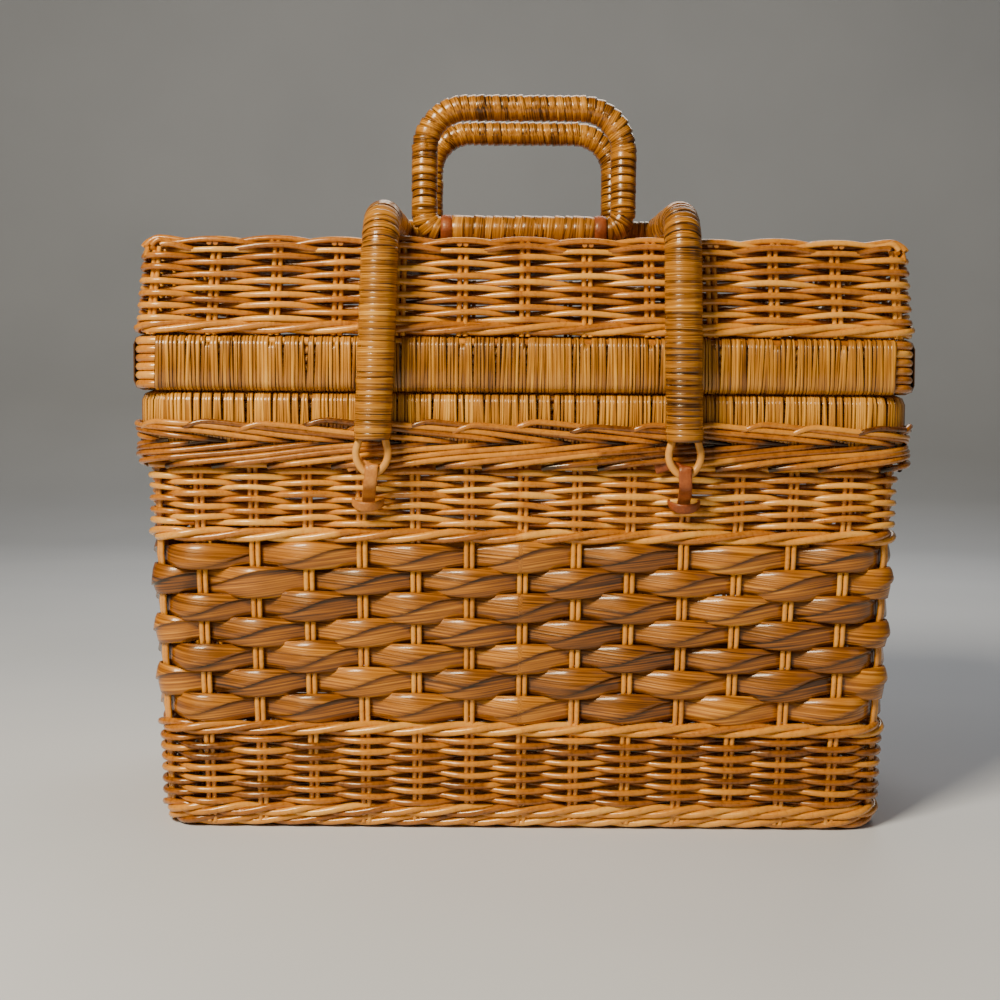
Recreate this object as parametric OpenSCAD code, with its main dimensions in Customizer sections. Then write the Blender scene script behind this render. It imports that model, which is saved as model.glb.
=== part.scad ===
// Wicker sewing basket with a hinged lid, two folding grips and a strap bail.
// Millimetres. The origin is the middle of the base on the floor, +Z is up and the front faces -Y.

/* [Basket wall] */
// Width of the woven wall under the rim
basket_w = 387; // [340:1:440]
// Depth of the woven wall under the rim
basket_d = 238; // [200:1:280]
// How far each wall leans in at the floor
wall_lean = 6.5; // [0:0.5:12]
// Plan radius of the basket's corners
basket_corner_r = 22; // [18:1:30]
// Thickness of the woven wall
wall_t = 7; // [5:0.5:9]
// How far a reed stands out or in where it crosses a stake
reed_wave = 1.3; // [0.8:0.1:1.6]
// Height of one woven row of round reed
reed_row_h = 3.9; // [2.8:0.1:4.2]
// Stakes along the front wall
front_stakes = 13; // [9:2:17]
// Stakes along a side wall
side_stakes = 7; // [5:2:9]

/* [Basket bands] */
// Thickness of the woven base
base_t = 5; // [4:0.5:7]
// Spacing of the rods in the base
base_rod_pitch = 4.8; // [4:0.2:6]
// Height of the foot wale
foot_h = 13; // [11:0.5:16]
// Radius of a foot wale rod
foot_rod_r = 2.2; // [1.8:0.1:2.6]
// Height of the lower round reed weave
lower_weave_h = 35; // [20:0.5:50]
// Height of a wale between two bands
wale_h = 8.8; // [6:0.2:12]
// How far a wale's twisted rods stand out
wale_wave = 1.1; // [0.6:0.1:1.6]
// Rows of flat bark strip
strip_rows = 7; // [5:2:9]
// Height of one row of bark strip
strip_row_h = 13; // [11:0.2:15]
// How far a strip stands out over a stake
strip_wave = 1.7; // [1:0.1:2.2]
// Width of a strip's flat stretch over a stake, as a share of the stake spacing
strip_flat = 0.3; // [0.2:0.05:0.4]
// Open height between two rows of strip
strip_gap = 1.8; // [1:0.1:2.4]
// Height of the upper round reed weave
upper_weave_h = 39.8; // [34:0.2:60]

/* [Rims] */
// Height of the wrapped body rim
body_rim_h = 28.2; // [22:0.2:34]
// Thickness of the rims
rim_t = 11; // [10:0.5:13]
// How far the body rim stands out past the woven wall
rim_overhang = 2.8; // [2.4:0.1:4]
// Height of the rolled border
border_h = 26.7; // [20:0.1:30]
// How far the border reaches below the seat of the rim
border_drop = 10.8; // [8:0.2:16]
// Thickness of the rolled border
border_t = 3; // [2.6:0.1:4]
// Gap between the border and the rim it lies round
border_clear = 0.6; // [0.5:0.1:0.9]
// How deep the border's diagonal rods are cut
border_wave = 1.2; // [0.6:0.1:1.6]
// Width of one turn of the cane wrap on the rims
rim_turn_w = 4; // [3:0.5:6]
// How much the body rim's upper edge is eased
rim_ease = 1.2; // [0.8:0.1:2]
// Depth of the line between two turns of cane wrap
turn_depth = 0.5; // [0.3:0.1:0.8]
// Gap between the body rim and the lid rim
lid_gap = 0.5; // [0.4:0.1:2]

/* [Lid] */
// How far the lid's rim wraps stand out past the woven wall of the basket
lid_overhang = 5.2; // [4.6:0.1:7]
// Plan radius of the lid's corners
lid_corner_r = 14; // [13:1:20]
// Height of the lid rim over its wraps
lid_rim_h = 28; // [22:0.5:34]
// Reeds stacked in the lid rim's core
rim_reeds = 6; // [4:1:8]
// Thickness of a rim wrap
rim_wrap_t = 1; // [0.8:0.1:1.4]
// Height of the lid wale
lid_wale_h = 7.3; // [5:0.1:10]
// Height of the lid's woven wall
lid_weave_h = 36.6; // [24:0.2:50]
// How far the lid wall leans in towards the top
lid_lean = 2.5; // [0:0.5:5]
// Thickness of the lid's woven top at its edge
lid_top_t = 5.5; // [4.8:0.1:9]
// Radius of the lid top's rounded edge
lid_edge_r = 4.2; // [3.4:0.1:4.2]
// Rise of the lid top in the middle
lid_dome = 1.4; // [0:0.2:4]
// Depth of the weave on the lid top
lid_top_wave = 0.8; // [0.4:0.1:1.4]
// Rows of reed across the lid top
lid_top_rows = 68; // [40:2:80]

/* [Lid hinge] */
// Distance of a hinge ring from the middle
hinge_x = 95; // [60:1:140]
// Radius of a hinge ring at the middle of its cane
hinge_ring_r = 8.8; // [8:0.1:9.4]
// Radius of a hinge ring's cane
hinge_cane_r = 1.8; // [1.4:0.1:2.2]
// How far the hinge line lies behind the lid's rim wraps
hinge_back = 0.6; // [0.4:0.1:1.2]
// Gap round a hinge ring in the rims
hinge_clear = 0.5; // [0.3:0.1:0.8]

/* [Grips] */
// Distance of each grip's bar from the middle of the lid
grip_y = 44.5; // [42:0.5:60]
// Half width of a grip at the middle of its rod
grip_half_w = 54; // [48:0.5:64]
// Height of a grip from its bar to its top rod
grip_h = 65.8; // [55:0.2:80]
// Radius of the wrapped grip rod
grip_r = 7; // [6:0.1:7.4]
// Radius of the bare core where the rings and the sleeve sit
grip_core_r = 5.6; // [4.8:0.1:5.8]
// Bend radius of a grip's upper corners
grip_top_bend = 23; // [16:1:28]
// Bend radius of a grip's lower corners
grip_foot_bend = 9; // [8:0.5:12]
// Width of one turn of the cane wrap on rods
rod_turn_w = 5; // [4:0.5:7]
// Radius of the sleeve on a grip's bar
sleeve_r = 8; // [7.4:0.1:8.4]
// Room for a leather ring between the sleeve and a grip's lower corner
ring_room = 7; // [6.8:0.1:10]
// Width of a leather ring
ring_w = 6.4; // [5:0.2:6.6]
// Wall of a leather ring
ring_wall = 2.2; // [1.6:0.1:2.6]
// Gap between a turning rod and its leather ring
ring_clear = 0.3; // [0.1:0.05:0.5]

/* [Strap bail] */
// Radius of a wrapped strap leg
strap_r = 9.3; // [8:0.1:10]
// Radius of the crossbar
crossbar_r = 5.8; // [5:0.1:6.4]
// Distance from the grip's bar back to the crossbar
crossbar_back = 17; // [16:0.5:20]
// Gap between the left leg's run and the side of the front grip
leg_grip_gap = 0.7; // [0.4:0.1:10]
// How much farther out the right leg lies than the left one
right_leg_shift = 6; // [0:0.1:12]
// Sideways lean of the left leg in degrees
left_lean = 2.1; // [0:0.1:3]
// Sideways lean of the right leg in degrees
right_lean = -1.2; // [-3:0.1:0]
// Bend radius where a leg turns down over the lid's edge
strap_bend = 14; // [13:0.5:18]
// Length of the straight part of a leg
strap_leg_l = 98.7; // [85:0.1:104]
// Gap between the bail and the lid
strap_clear = 0.5; // [0.3:0.1:1]

/* [Closures] */
// Radius of a cane eye at the middle of its cane
eye_r = 7.6; // [6.8:0.1:8.4]
// Radius of an eye's cane
eye_cane_r = 1.9; // [1.5:0.1:2.2]
// Width of a leather tongue
tongue_w = 6.5; // [5:0.5:7]
// Thickness of the leather
leather_t = 1.6; // [1.4:0.1:1.8]
// Gap between a tongue and its eye
tongue_clear = 0.4; // [0.3:0.1:0.6]
// Radius of a leather keeper's arch
keeper_r = 8.2; // [7.6:0.1:10]
// How far the keeper's foot lies below the border's foot
keeper_drop = 20.4; // [16:0.2:26]
// Height of a keeper
keeper_h = 6.6; // [5:0.2:8]
// Gap between a leather piece and the wall it is tied to
seat_clear = 0.2; // [0.1:0.05:0.4]

/* [Hidden] */
$fn = 48;

// Heights of the bands, from the floor up
lower_weave_z = foot_h;
lower_wale_z = lower_weave_z + lower_weave_h;
strip_z = lower_wale_z + wale_h;
upper_wale_z = strip_z + strip_rows * strip_row_h;
upper_weave_z = upper_wale_z + wale_h;
rim_z = upper_weave_z + upper_weave_h;
rim_top_z = rim_z + body_rim_h;
border_z = rim_z - border_drop;
lid_z = rim_top_z + lid_gap;
lid_wale_z = lid_z + lid_rim_h;
lid_weave_z = lid_wale_z + lid_wale_h;
lid_top_z = lid_weave_z + lid_weave_h;
lid_crown_z = lid_top_z + lid_top_t + lid_dome + lid_top_wave;

// Half sizes of the outlines
function half_w(z) = basket_w / 2 - wall_lean * (1 - z / rim_z);
function half_d(z) = basket_d / 2 - wall_lean * (1 - z / rim_z);
rim_a = basket_w / 2 + rim_overhang;
rim_b = basket_d / 2 + rim_overhang;
rim_corner_r = basket_corner_r + rim_overhang;
border_a = rim_a + border_clear;
border_b = rim_b + border_clear;
lid_a = basket_w / 2 + lid_overhang;
lid_b = basket_d / 2 + lid_overhang;
core_a = lid_a - rim_wrap_t - turn_depth;
core_b = lid_b - rim_wrap_t - turn_depth;
core_t = rim_t - 2 * rim_wrap_t;
core_h = lid_rim_h - 2 * rim_wrap_t;
lid_wall_a = lid_a - rim_wrap_t;
lid_wall_b = lid_b - rim_wrap_t;
lid_top_a = lid_wall_a - reed_wave - lid_lean;
lid_top_b = lid_wall_b - reed_wave - lid_lean;
function lid_rise(x, y) = lid_dome * (1 - pow(x / lid_top_a, 2)) * (1 - pow(y / lid_top_b, 2));

// Hinge, grip and bail axes
hinge_y = lid_b + hinge_back;
hinge_z = rim_top_z + lid_gap / 2;
grip_z = lid_crown_z + strap_clear + sleeve_r;
grip_bar_half = grip_half_w - grip_foot_bend;
sleeve_l = 2 * (grip_bar_half - ring_room);
ring_x = grip_bar_half - ring_room / 2;
crossbar_y = -grip_y + crossbar_back;
crossbar_z = lid_crown_z + strap_clear + strap_r;
left_leg_x = -(grip_half_w + grip_r + leg_grip_gap + strap_r);
right_leg_x = right_leg_shift - left_leg_x;
leg_y = -(max(lid_b, border_b + border_t) + strap_clear + strap_r);
leg_top_z = crossbar_z - strap_bend;
leg_end_z = leg_top_z - strap_leg_l;
eye_z = leg_end_z - eye_cane_r - eye_r;
eye_low_z = eye_z - eye_r;
keeper_z = min(border_z - keeper_drop, eye_low_z - keeper_h * 2.9);

// Colours
reed = [0.76, 0.50, 0.22];
bark = [0.66, 0.42, 0.16];
cane = [0.56, 0.38, 0.17];
pale_cane = [0.82, 0.62, 0.36];
leather = [0.56, 0.27, 0.13];

// A place on the wall at u stakes from the front left corner: two shares of the core rectangle, and the normal
function around(u) = let(
    w = front_stakes - 1,
    d = side_stakes - 1,
    p = 2 * w + 2 * d + 8,
    v = ((u % p) + p) % p,
    right = v - w - 2,
    back = right - d - 2,
    left = back - w - 2
  )
  v <= w ? [-1 + 2 * v / w, -1, 0, -1] :
  right < 0 ? [1, -1, cos(-90 + 45 * (v - w)), sin(-90 + 45 * (v - w))] :
  right <= d ? [1, -1 + 2 * right / d, 1, 0] :
  back < 0 ? [1, 1, cos(45 * (right - d)), sin(45 * (right - d))] :
  back <= w ? [1 - 2 * back / w, 1, 0, 1] :
  left < 0 ? [-1, 1, cos(90 + 45 * (back - w)), sin(90 + 45 * (back - w))] :
  left <= d ? [-1, 1 - 2 * left / d, -1, 0] :
  [-1, -1, cos(180 + 45 * (left - d)), sin(180 + 45 * (left - d))];

stake_count = 2 * (front_stakes + side_stakes) + 4;
function is_corner(i) = let(f = around(i + 0.5)) f[2] != 0 && f[3] != 0;

// Places of the columns of a woven wall: one at each stake, and one more between stakes in the corners
stake_columns = [for (i = [0:stake_count - 1]) each is_corner(i) ? [i, i + 0.5] : [i]];
strip_columns = [for (i = [0:stake_count - 1])
  each is_corner(i) ? [i - strip_flat / 2, i + strip_flat / 2, i + 0.5]
                    : [i - strip_flat / 2, i + strip_flat / 2]];
half_columns = [for (i = [0:2 * stake_count - 1]) each is_corner(floor(i / 2)) ? [i / 2, i / 2 + 0.25] : [i / 2]];

function wall_point(u, a, b, r, out, z) = let(f = around(u))
  [f[0] * (a - r) + f[2] * (r + out), f[1] * (b - r) + f[3] * (r + out), z];
function weave_side(u, row) = cos(180 * u) * (row % 2 == 0 ? 1 : -1);

// A closed wall between outer rings of points and an inner pair of rings
module ring_solid(outer, inner) {
  n = len(outer[0]);
  m = len(outer);
  k = len(inner);
  function o(j, i) = j * n + i % n;
  function q(j, i) = (m + j) * n + i % n;
  polyhedron(
    points = [each [for (ring = outer) each ring], each [for (ring = inner) each ring]],
    faces = [
      for (j = [0:m - 2], i = [0:n - 1])
        each [[o(j, i), o(j + 1, i), o(j + 1, i + 1)], [o(j, i), o(j + 1, i + 1), o(j, i + 1)]],
      for (j = [0:k - 2], i = [0:n - 1])
        each [[q(j, i), q(j + 1, i + 1), q(j + 1, i)], [q(j, i), q(j, i + 1), q(j + 1, i + 1)]],
      for (i = [0:n - 1])
        each [[o(0, i), o(0, i + 1), q(0, i + 1)], [o(0, i), q(0, i + 1), q(0, i)]],
      for (i = [0:n - 1])
        each [[o(m - 1, i), q(k - 1, i + 1), o(m - 1, i + 1)], [o(m - 1, i), q(k - 1, i), q(k - 1, i + 1)]]
    ]
  );
}

// A wall of round reed: each row stands out over every second stake and in at the others
module reed_wall(z, h, a0, b0, a1, b1, r) {
  rows = round(h / reed_row_h);
  function a_at(t) = a0 + (a1 - a0) * t;
  function b_at(t) = b0 + (b1 - b0) * t;
  function ring(t, row, wave, inset) = [for (u = stake_columns)
    wall_point(u, a_at(t), b_at(t), r, wave * weave_side(u, row) - inset, z + h * t)];
  ring_solid(
    [ring(0, 0, 0, 0), for (j = [0:rows - 1]) ring((j + 0.5) / rows, j, reed_wave, 0), ring(1, 0, 0, 0)],
    [ring(0, 0, 0, wall_t), ring(1, 0, 0, wall_t)]
  );
}

// A band of rods that run diagonally round the wall
module twisted_band(columns, z, h, a0, b0, a1, b1, r, t_wall, wave, rows, slant) {
  function ring(t, inset, w) = [for (u = columns) wall_point(
    u, a0 + (a1 - a0) * t, b0 + (b1 - b0) * t, r, w * cos(180 * u + slant * t) - inset, z + h * t)];
  ring_solid(
    [ring(0, wave, 0), for (j = [0:rows - 1]) ring((j + 0.5) / rows, j % 2 == 0 ? 0 : wave, wave), ring(1, wave, 0)],
    [ring(0, t_wall, 0), ring(1, t_wall, 0)]
  );
}

// A flat outline with rounded corners
module rounded_plan(a, b, r) {
  square([2 * a, 2 * (b - r)], center = true);
  square([2 * (a - r), 2 * b], center = true);
  for (x = [-1, 1], y = [-1, 1]) translate([x * (a - r), y * (b - r)]) circle(r);
}

// Sweeps a section round a rounded rectangle. The section's x is 0 on the outline and negative inside it
module around_plan(a, b, r) {
  for (k = [0:3]) rotate([0, 0, 90 * k]) {
    along = k % 2 == 0 ? a : b;
    across = k % 2 == 0 ? b : a;
    translate([along - r, across - r, 0]) rotate([90, 0, 0])
      linear_extrude(2 * (across - r)) translate([r, 0]) children();
    translate([along - r, r - across, 0]) rotate([0, 0, -90])
      rotate_extrude(angle = 90) translate([r, 0]) children();
  }
}

// An outline of flutes, two points to each turn of cane
function fluted_plan(a, b, r, out) = let(
    straight_w = 2 * (a - r),
    straight_d = 2 * (b - r),
    runs = [straight_w, straight_d, straight_w, straight_d],
    starts = [[r - a, r - b], [a - r, r - b], [a - r, b - r], [r - a, b - r]],
    arc = (r + out) * PI / 2
  )
  [for (k = [0:3])
    let(
      dir = [cos(90 * k), sin(90 * k)],
      n = round(runs[k] / rim_turn_w),
      c = max(2, round(arc / rim_turn_w)),
      corner = starts[(k + 1) % 4]
    )
    each [
      for (i = [0:2 * n - 1])
        starts[k] + dir * runs[k] * i / (2 * n)
          + [dir[1], -dir[0]] * (r + out - (i % 2 == 0 ? turn_depth : 0)),
      for (i = [0:2 * c - 1])
        corner + [sin(90 * k + 90 * i / (2 * c)), -cos(90 * k + 90 * i / (2 * c))]
          * (r + out - (i % 2 == 0 ? turn_depth : 0))
    ]
  ];

// A rod along +Z with the turns of its cane wrap
module wrapped_rod(l, r) {
  n = max(1, round(l / rod_turn_w));
  rotate_extrude() polygon([
    [0, 0],
    for (i = [0:n - 1]) each [[r - turn_depth, l * i / n], [r, l * (i + 0.5) / n]],
    [r - turn_depth, l],
    [0, l]
  ]);
}

// A quarter bend in the XZ plane, from +Z at the start to +X at the end
module rod_bend(bend_r, r) {
  translate([bend_r, 0, 0]) rotate([90, 0, 0]) rotate([0, 0, 90])
    rotate_extrude(angle = 90) translate([bend_r, 0]) circle(r - turn_depth / 2);
}

// The ring space that a hinge ring of cane needs, at one place along the hinge
module hinge_ring(x, r) {
  translate([x, hinge_y, hinge_z]) rotate([0, 90, 0])
    rotate_extrude() translate([hinge_ring_r, 0]) circle(r);
}
module hinge_channels() {
  for (x = [-hinge_x, hinge_x]) hinge_ring(x, hinge_cane_r + hinge_clear);
}

module base() {
  inset = foot_rod_r * 4 + seat_clear;
  a = half_w(0) - inset;
  b = half_d(0) - inset;
  rod_r = base_t / 2 + 0.2;
  rods = floor(b / base_rod_pitch);
  color(reed) intersection() {
    rotate([90, 0, 90]) translate([0, 0, -a]) linear_extrude(2 * a) {
      translate([0, base_t / 2]) square([2 * b, base_t * 0.4], center = true);
      for (i = [-rods:rods]) translate([i * base_rod_pitch, base_t / 2]) circle(rod_r);
    }
    linear_extrude(base_t) rounded_plan(a, b, basket_corner_r - inset);
  }
}

module foot_wale() {
  a = half_w(foot_h);
  b = half_d(foot_h);
  step = (foot_h - foot_rod_r) / 3.2;
  inner = -foot_rod_r * 4 + half_w(0) - a;
  color(reed) around_plan(a, b, basket_corner_r) intersection() {
    translate([inner, 0]) square([-inner + foot_rod_r, foot_h]);
    union() {
      for (i = [0:3])
        translate([-foot_rod_r * (0.35 + 2.2 * pow((3 - i) / 3, 2)), step * i + foot_rod_r * 0.8])
          circle(foot_rod_r);
      translate([inner, 0]) square([-inner - foot_rod_r * 2.5, foot_h]);
      translate([inner, foot_h * 0.28]) square([-inner - foot_rod_r * 1.6, foot_h * 0.3]);
      translate([inner, foot_h / 2]) square([-inner - foot_rod_r, foot_h / 2]);
    }
  }
}

module lower_weave() {
  top = lower_weave_z + lower_weave_h;
  color(reed) reed_wall(
    lower_weave_z, lower_weave_h, half_w(lower_weave_z), half_d(lower_weave_z), half_w(top), half_d(top),
    basket_corner_r);
}

module wall_wale(z) {
  color(reed) twisted_band(
    stake_columns, z, wale_h, half_w(z) + wale_wave, half_d(z) + wale_wave, half_w(z + wale_h) + wale_wave,
    half_d(z + wale_h) + wale_wave, basket_corner_r, wall_t + wale_wave, wale_wave, 3, 180);
}
module lower_wale() { wall_wale(lower_wale_z); }
module upper_wale() { wall_wale(upper_wale_z); }

// Flat strips that pass over every second stake, with a slot-like groove between the rows
module strip_band() {
  function ring(z, row, wave, inset) = [for (u = strip_columns)
    let(side = cos(180 * round(u - 0.001)) * (row % 2 == 0 ? 1 : -1), near = abs(u - round(u)) < strip_flat)
      wall_point(u, half_w(z), half_d(z), basket_corner_r, (near ? wave * side : 0) - inset, z)];
  top = strip_z + strip_rows * strip_row_h;
  color(bark) ring_solid(
    [
      ring(strip_z, 0, 0, strip_wave),
      for (j = [0:strip_rows - 1]) let(z = strip_z + j * strip_row_h) each [
        ring(z + strip_gap / 2, j, strip_wave, 0),
        ring(z + strip_row_h - strip_gap / 2, j, strip_wave, 0)
      ],
      ring(top, 0, 0, strip_wave)
    ],
    [ring(strip_z, 0, 0, wall_t), ring(top, 0, 0, wall_t)]
  );
}

module upper_weave() {
  color(reed) reed_wall(
    upper_weave_z, upper_weave_h, half_w(upper_weave_z), half_d(upper_weave_z), half_w(rim_z), half_d(rim_z),
    basket_corner_r);
}

// The wrapped hoop on top of the wall, with its upper edge eased
module body_rim() {
  color(cane) difference() {
    union() {
      translate([0, 0, rim_z]) linear_extrude(body_rim_h - rim_ease) difference() {
        polygon(fluted_plan(rim_a, rim_b, rim_corner_r, 0));
        polygon(fluted_plan(rim_a - rim_t, rim_b - rim_t, rim_corner_r - rim_t, 0));
      }
      translate([0, 0, rim_top_z - rim_ease]) linear_extrude(rim_ease) difference() {
        rounded_plan(rim_a - rim_ease, rim_b - rim_ease, rim_corner_r - rim_ease);
        rounded_plan(rim_a - rim_t + rim_ease, rim_b - rim_t + rim_ease, rim_corner_r - rim_t + rim_ease);
      }
    }
    hinge_channels();
  }
}

module rolled_border() {
  a = border_a + border_t;
  b = border_b + border_t;
  color(reed) twisted_band(
    half_columns, border_z, border_h, a - border_wave, b - border_wave, a - border_wave, b - border_wave,
    rim_corner_r + border_clear + border_t - border_wave, border_t - border_wave, border_wave, 5, 360);
}

module left_hinge_ring() { color(pale_cane) hinge_ring(-hinge_x, hinge_cane_r); }
module right_hinge_ring() { color(pale_cane) hinge_ring(hinge_x, hinge_cane_r); }

// The stacked reeds of the lid rim, bare at the corners
module lid_rim_core() {
  reed_h = core_h / rim_reeds;
  color(reed) difference() {
    translate([0, 0, lid_z + rim_wrap_t]) around_plan(core_a, core_b, lid_corner_r) {
      translate([-core_t, 0]) square([core_t - reed_h * 0.3, core_h]);
      intersection() {
        translate([-core_t, 0]) square([core_t, core_h]);
        for (i = [0:rim_reeds - 1]) translate([-reed_h * 0.52, reed_h * (i + 0.5)]) circle(reed_h * 0.52);
      }
    }
    hinge_channels();
  }
}

// A cane wrap round one straight stretch of the lid rim, along +X, with its outer face at y = 0
module rim_wrap(l) {
  n = round(l / rim_turn_w);
  deep = core_t + 2 * (rim_wrap_t + turn_depth);
  x = [for (i = [0:2 * n]) -l / 2 + l * i / (2 * n)];
  difference() {
    linear_extrude(lid_rim_h) polygon([
      for (i = [0:2 * n]) [x[i], i % 2 == 0 ? turn_depth : 0],
      for (i = [2 * n:-1:0]) [x[i], deep - (i % 2 == 0 ? turn_depth : 0)]
    ]);
    translate([-l / 2 - 1, rim_wrap_t + turn_depth, rim_wrap_t]) cube([l + 2, core_t, core_h]);
  }
}
module lid_wrap_along_x(turn) {
  color(cane) difference() {
    rotate([0, 0, turn]) translate([0, -lid_b, lid_z]) rim_wrap(2 * (core_a - lid_corner_r));
    hinge_channels();
  }
}
module lid_wrap_along_y(turn) {
  color(cane) rotate([0, 0, turn]) translate([0, -lid_a, lid_z]) rim_wrap(2 * (core_b - lid_corner_r));
}
module lid_wrap_front() { lid_wrap_along_x(0); }
module lid_wrap_rear() { lid_wrap_along_x(180); }
module lid_wrap_left() { lid_wrap_along_y(-90); }
module lid_wrap_right() { lid_wrap_along_y(90); }

module lid_wale() {
  color(reed) twisted_band(
    stake_columns, lid_wale_z, lid_wale_h, lid_wall_a, lid_wall_b, lid_wall_a, lid_wall_b, lid_corner_r,
    wall_t + wale_wave, wale_wave, 3, 180);
}

module lid_weave() {
  color(reed) reed_wall(
    lid_weave_z, lid_weave_h, lid_wall_a - reed_wave, lid_wall_b - reed_wave,
    lid_top_a, lid_top_b, lid_corner_r);
}

// The woven top: rows of reed across the lid, rounded off at the edge and crowned in the middle
module lid_top() {
  a = lid_top_a;
  b = lid_top_b;
  r = lid_corner_r;
  edge_steps = 2;
  edge = [for (i = [0:edge_steps]) lid_edge_r * (1 - cos(90 * i / edge_steps))];
  inner_rows = [for (i = [1:lid_top_rows - 1]) -(b - r) + 2 * (b - r) * i / lid_top_rows];
  corner_rows = [for (i = [0:4]) b - r + r * sin(90 - 22.5 * i)];
  ys = [for (y = corner_rows) -y, each inner_rows, for (i = [4:-1:0]) corner_rows[i]];
  shares = [for (i = [0:front_stakes - 1]) -1 + 2 * i / (front_stakes - 1)];
  function reach(y) = abs(y) <= b - r ? a : a - r + sqrt(max(0, r * r - pow(abs(y) - (b - r), 2)));
  function xs(y) = let(w = reach(y)) [
    for (e = edge) -w + e,
    for (s = shares) s * (w - 1.2 * lid_edge_r),
    for (i = [edge_steps:-1:0]) w - edge[i]
  ];
  function fall(d) = d >= lid_edge_r ? 0 : lid_edge_r - sqrt(lid_edge_r * lid_edge_r - pow(lid_edge_r - d, 2));
  n = len(shares) + 2 * (edge_steps + 1);
  m = len(ys);
  function height(i, j, x, y) =
    let(
      d = min(reach(y) - abs(x), b - abs(y)),
      woven = i > edge_steps && i < n - edge_steps - 1 && d > lid_edge_r
    )
    lid_top_z + lid_top_t - fall(max(0, d)) + lid_rise(x, y)
      + (woven ? lid_top_wave * ((i + j) % 2 == 0 ? 1 : -1) : 0);
  top = [for (j = [0:m - 1]) let(row = xs(ys[j])) for (i = [0:n - 1]) [row[i], ys[j], height(i, j, row[i], ys[j])]];
  bottom = [for (y = ys) each [[-reach(y), y, lid_top_z], [reach(y), y, lid_top_z]]];
  function o(j, i) = j * n + i;
  function q(j, side) = m * n + 2 * j + side;
  color(reed) polyhedron(
    points = [each top, each bottom],
    faces = [
      for (j = [0:m - 2], i = [0:n - 2])
        each [[o(j, i), o(j + 1, i), o(j + 1, i + 1)], [o(j, i), o(j + 1, i + 1), o(j, i + 1)]],
      for (j = [0:m - 2])
        each [[q(j, 0), q(j, 1), q(j + 1, 1)], [q(j, 0), q(j + 1, 1), q(j + 1, 0)]],
      for (i = [0:n - 2])
        each [[o(0, i), o(0, i + 1), q(0, 0)], [o(m - 1, i), q(m - 1, 0), o(m - 1, i + 1)]],
      [o(0, n - 1), q(0, 1), q(0, 0)],
      [o(m - 1, n - 1), q(m - 1, 0), q(m - 1, 1)],
      for (j = [0:m - 2]) each [
        [o(j, 0), q(j + 1, 0), o(j + 1, 0)], [o(j, 0), q(j, 0), q(j + 1, 0)],
        [o(j, n - 1), o(j + 1, n - 1), q(j + 1, 1)], [o(j, n - 1), q(j + 1, 1), q(j, 1)]
      ]
    ]
  );
}

// A leather loop tied down to the lid round the bar of a grip and, in front, round the crossbar
module tied_ring(x, with_crossbar) {
  bore = grip_core_r + ring_clear;
  bar_bore = crossbar_r + ring_clear;
  foot_z = lid_top_z + lid_top_t + lid_top_wave + lid_rise(ring_x, grip_y) + seat_clear / 2;
  color(leather) translate([x - ring_w / 2, 0, 0]) rotate([90, 0, 90]) linear_extrude(ring_w) difference() {
    union() {
      translate([-grip_y, grip_z]) circle(bore + ring_wall);
      translate([-grip_y - bore * 0.6, foot_z]) square([bore * 1.2, grip_z - foot_z]);
      if (with_crossbar) {
        translate([crossbar_y, crossbar_z]) circle(bar_bore + ring_wall);
        translate([crossbar_y - bar_bore * 0.6, foot_z]) square([bar_bore * 1.2, crossbar_z - foot_z]);
        translate([-grip_y, foot_z]) square([crossbar_back, grip_z - foot_z - bore * 0.4]);
      }
    }
    translate([-grip_y, grip_z]) circle(bore);
    if (with_crossbar) translate([crossbar_y, crossbar_z]) circle(bar_bore);
  }
}
module front_ring_left() { tied_ring(-ring_x, true); }
module front_ring_right() { tied_ring(ring_x, true); }
module rear_ring_left() { mirror([0, 1, 0]) tied_ring(-ring_x, false); }
module rear_ring_right() { mirror([0, 1, 0]) tied_ring(ring_x, false); }

// A wrapped D: a bare bar between the feet, two legs and a top rod
module grip_loop() {
  leg = grip_h - grip_foot_bend - grip_top_bend;
  span = 2 * (grip_half_w - grip_top_bend);
  translate([-grip_bar_half, 0, 0]) rotate([0, 90, 0]) cylinder(h = 2 * grip_bar_half, r = grip_core_r);
  for (side = [0, 1]) mirror([side, 0, 0]) {
    translate([grip_half_w, 0, grip_foot_bend]) rotate([0, 180, 0]) rod_bend(grip_foot_bend, grip_r);
    translate([grip_half_w, 0, grip_foot_bend]) wrapped_rod(leg, grip_r);
    translate([grip_half_w, 0, grip_foot_bend + leg]) mirror([1, 0, 0]) rod_bend(grip_top_bend, grip_r);
  }
  translate([-span / 2, 0, grip_h]) rotate([0, 90, 0]) wrapped_rod(span, grip_r);
}
module grip_sleeve() {
  rotate([0, 90, 0]) difference() {
    translate([0, 0, -sleeve_l / 2]) wrapped_rod(sleeve_l, sleeve_r);
    cylinder(h = 2 * sleeve_l, r = grip_core_r + seat_clear / 2, center = true);
  }
}
module front_grip() { color(cane) translate([0, -grip_y, grip_z]) grip_loop(); }
module rear_grip() { color(cane) translate([0, grip_y, grip_z]) grip_loop(); }
module front_grip_sleeve() { color(cane) translate([0, -grip_y, grip_z]) grip_sleeve(); }
module rear_grip_sleeve() { color(cane) translate([0, grip_y, grip_z]) grip_sleeve(); }

// Places what belongs to one leg of the bail, leaning sideways about the leg's run on the lid
module at_leg(x, lean) {
  translate([x, 0, crossbar_z]) rotate([0, lean, 0]) translate([0, 0, -crossbar_z]) children();
}
function leg_x(x, lean, z) = x + (z - crossbar_z) * sin(lean);

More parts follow.
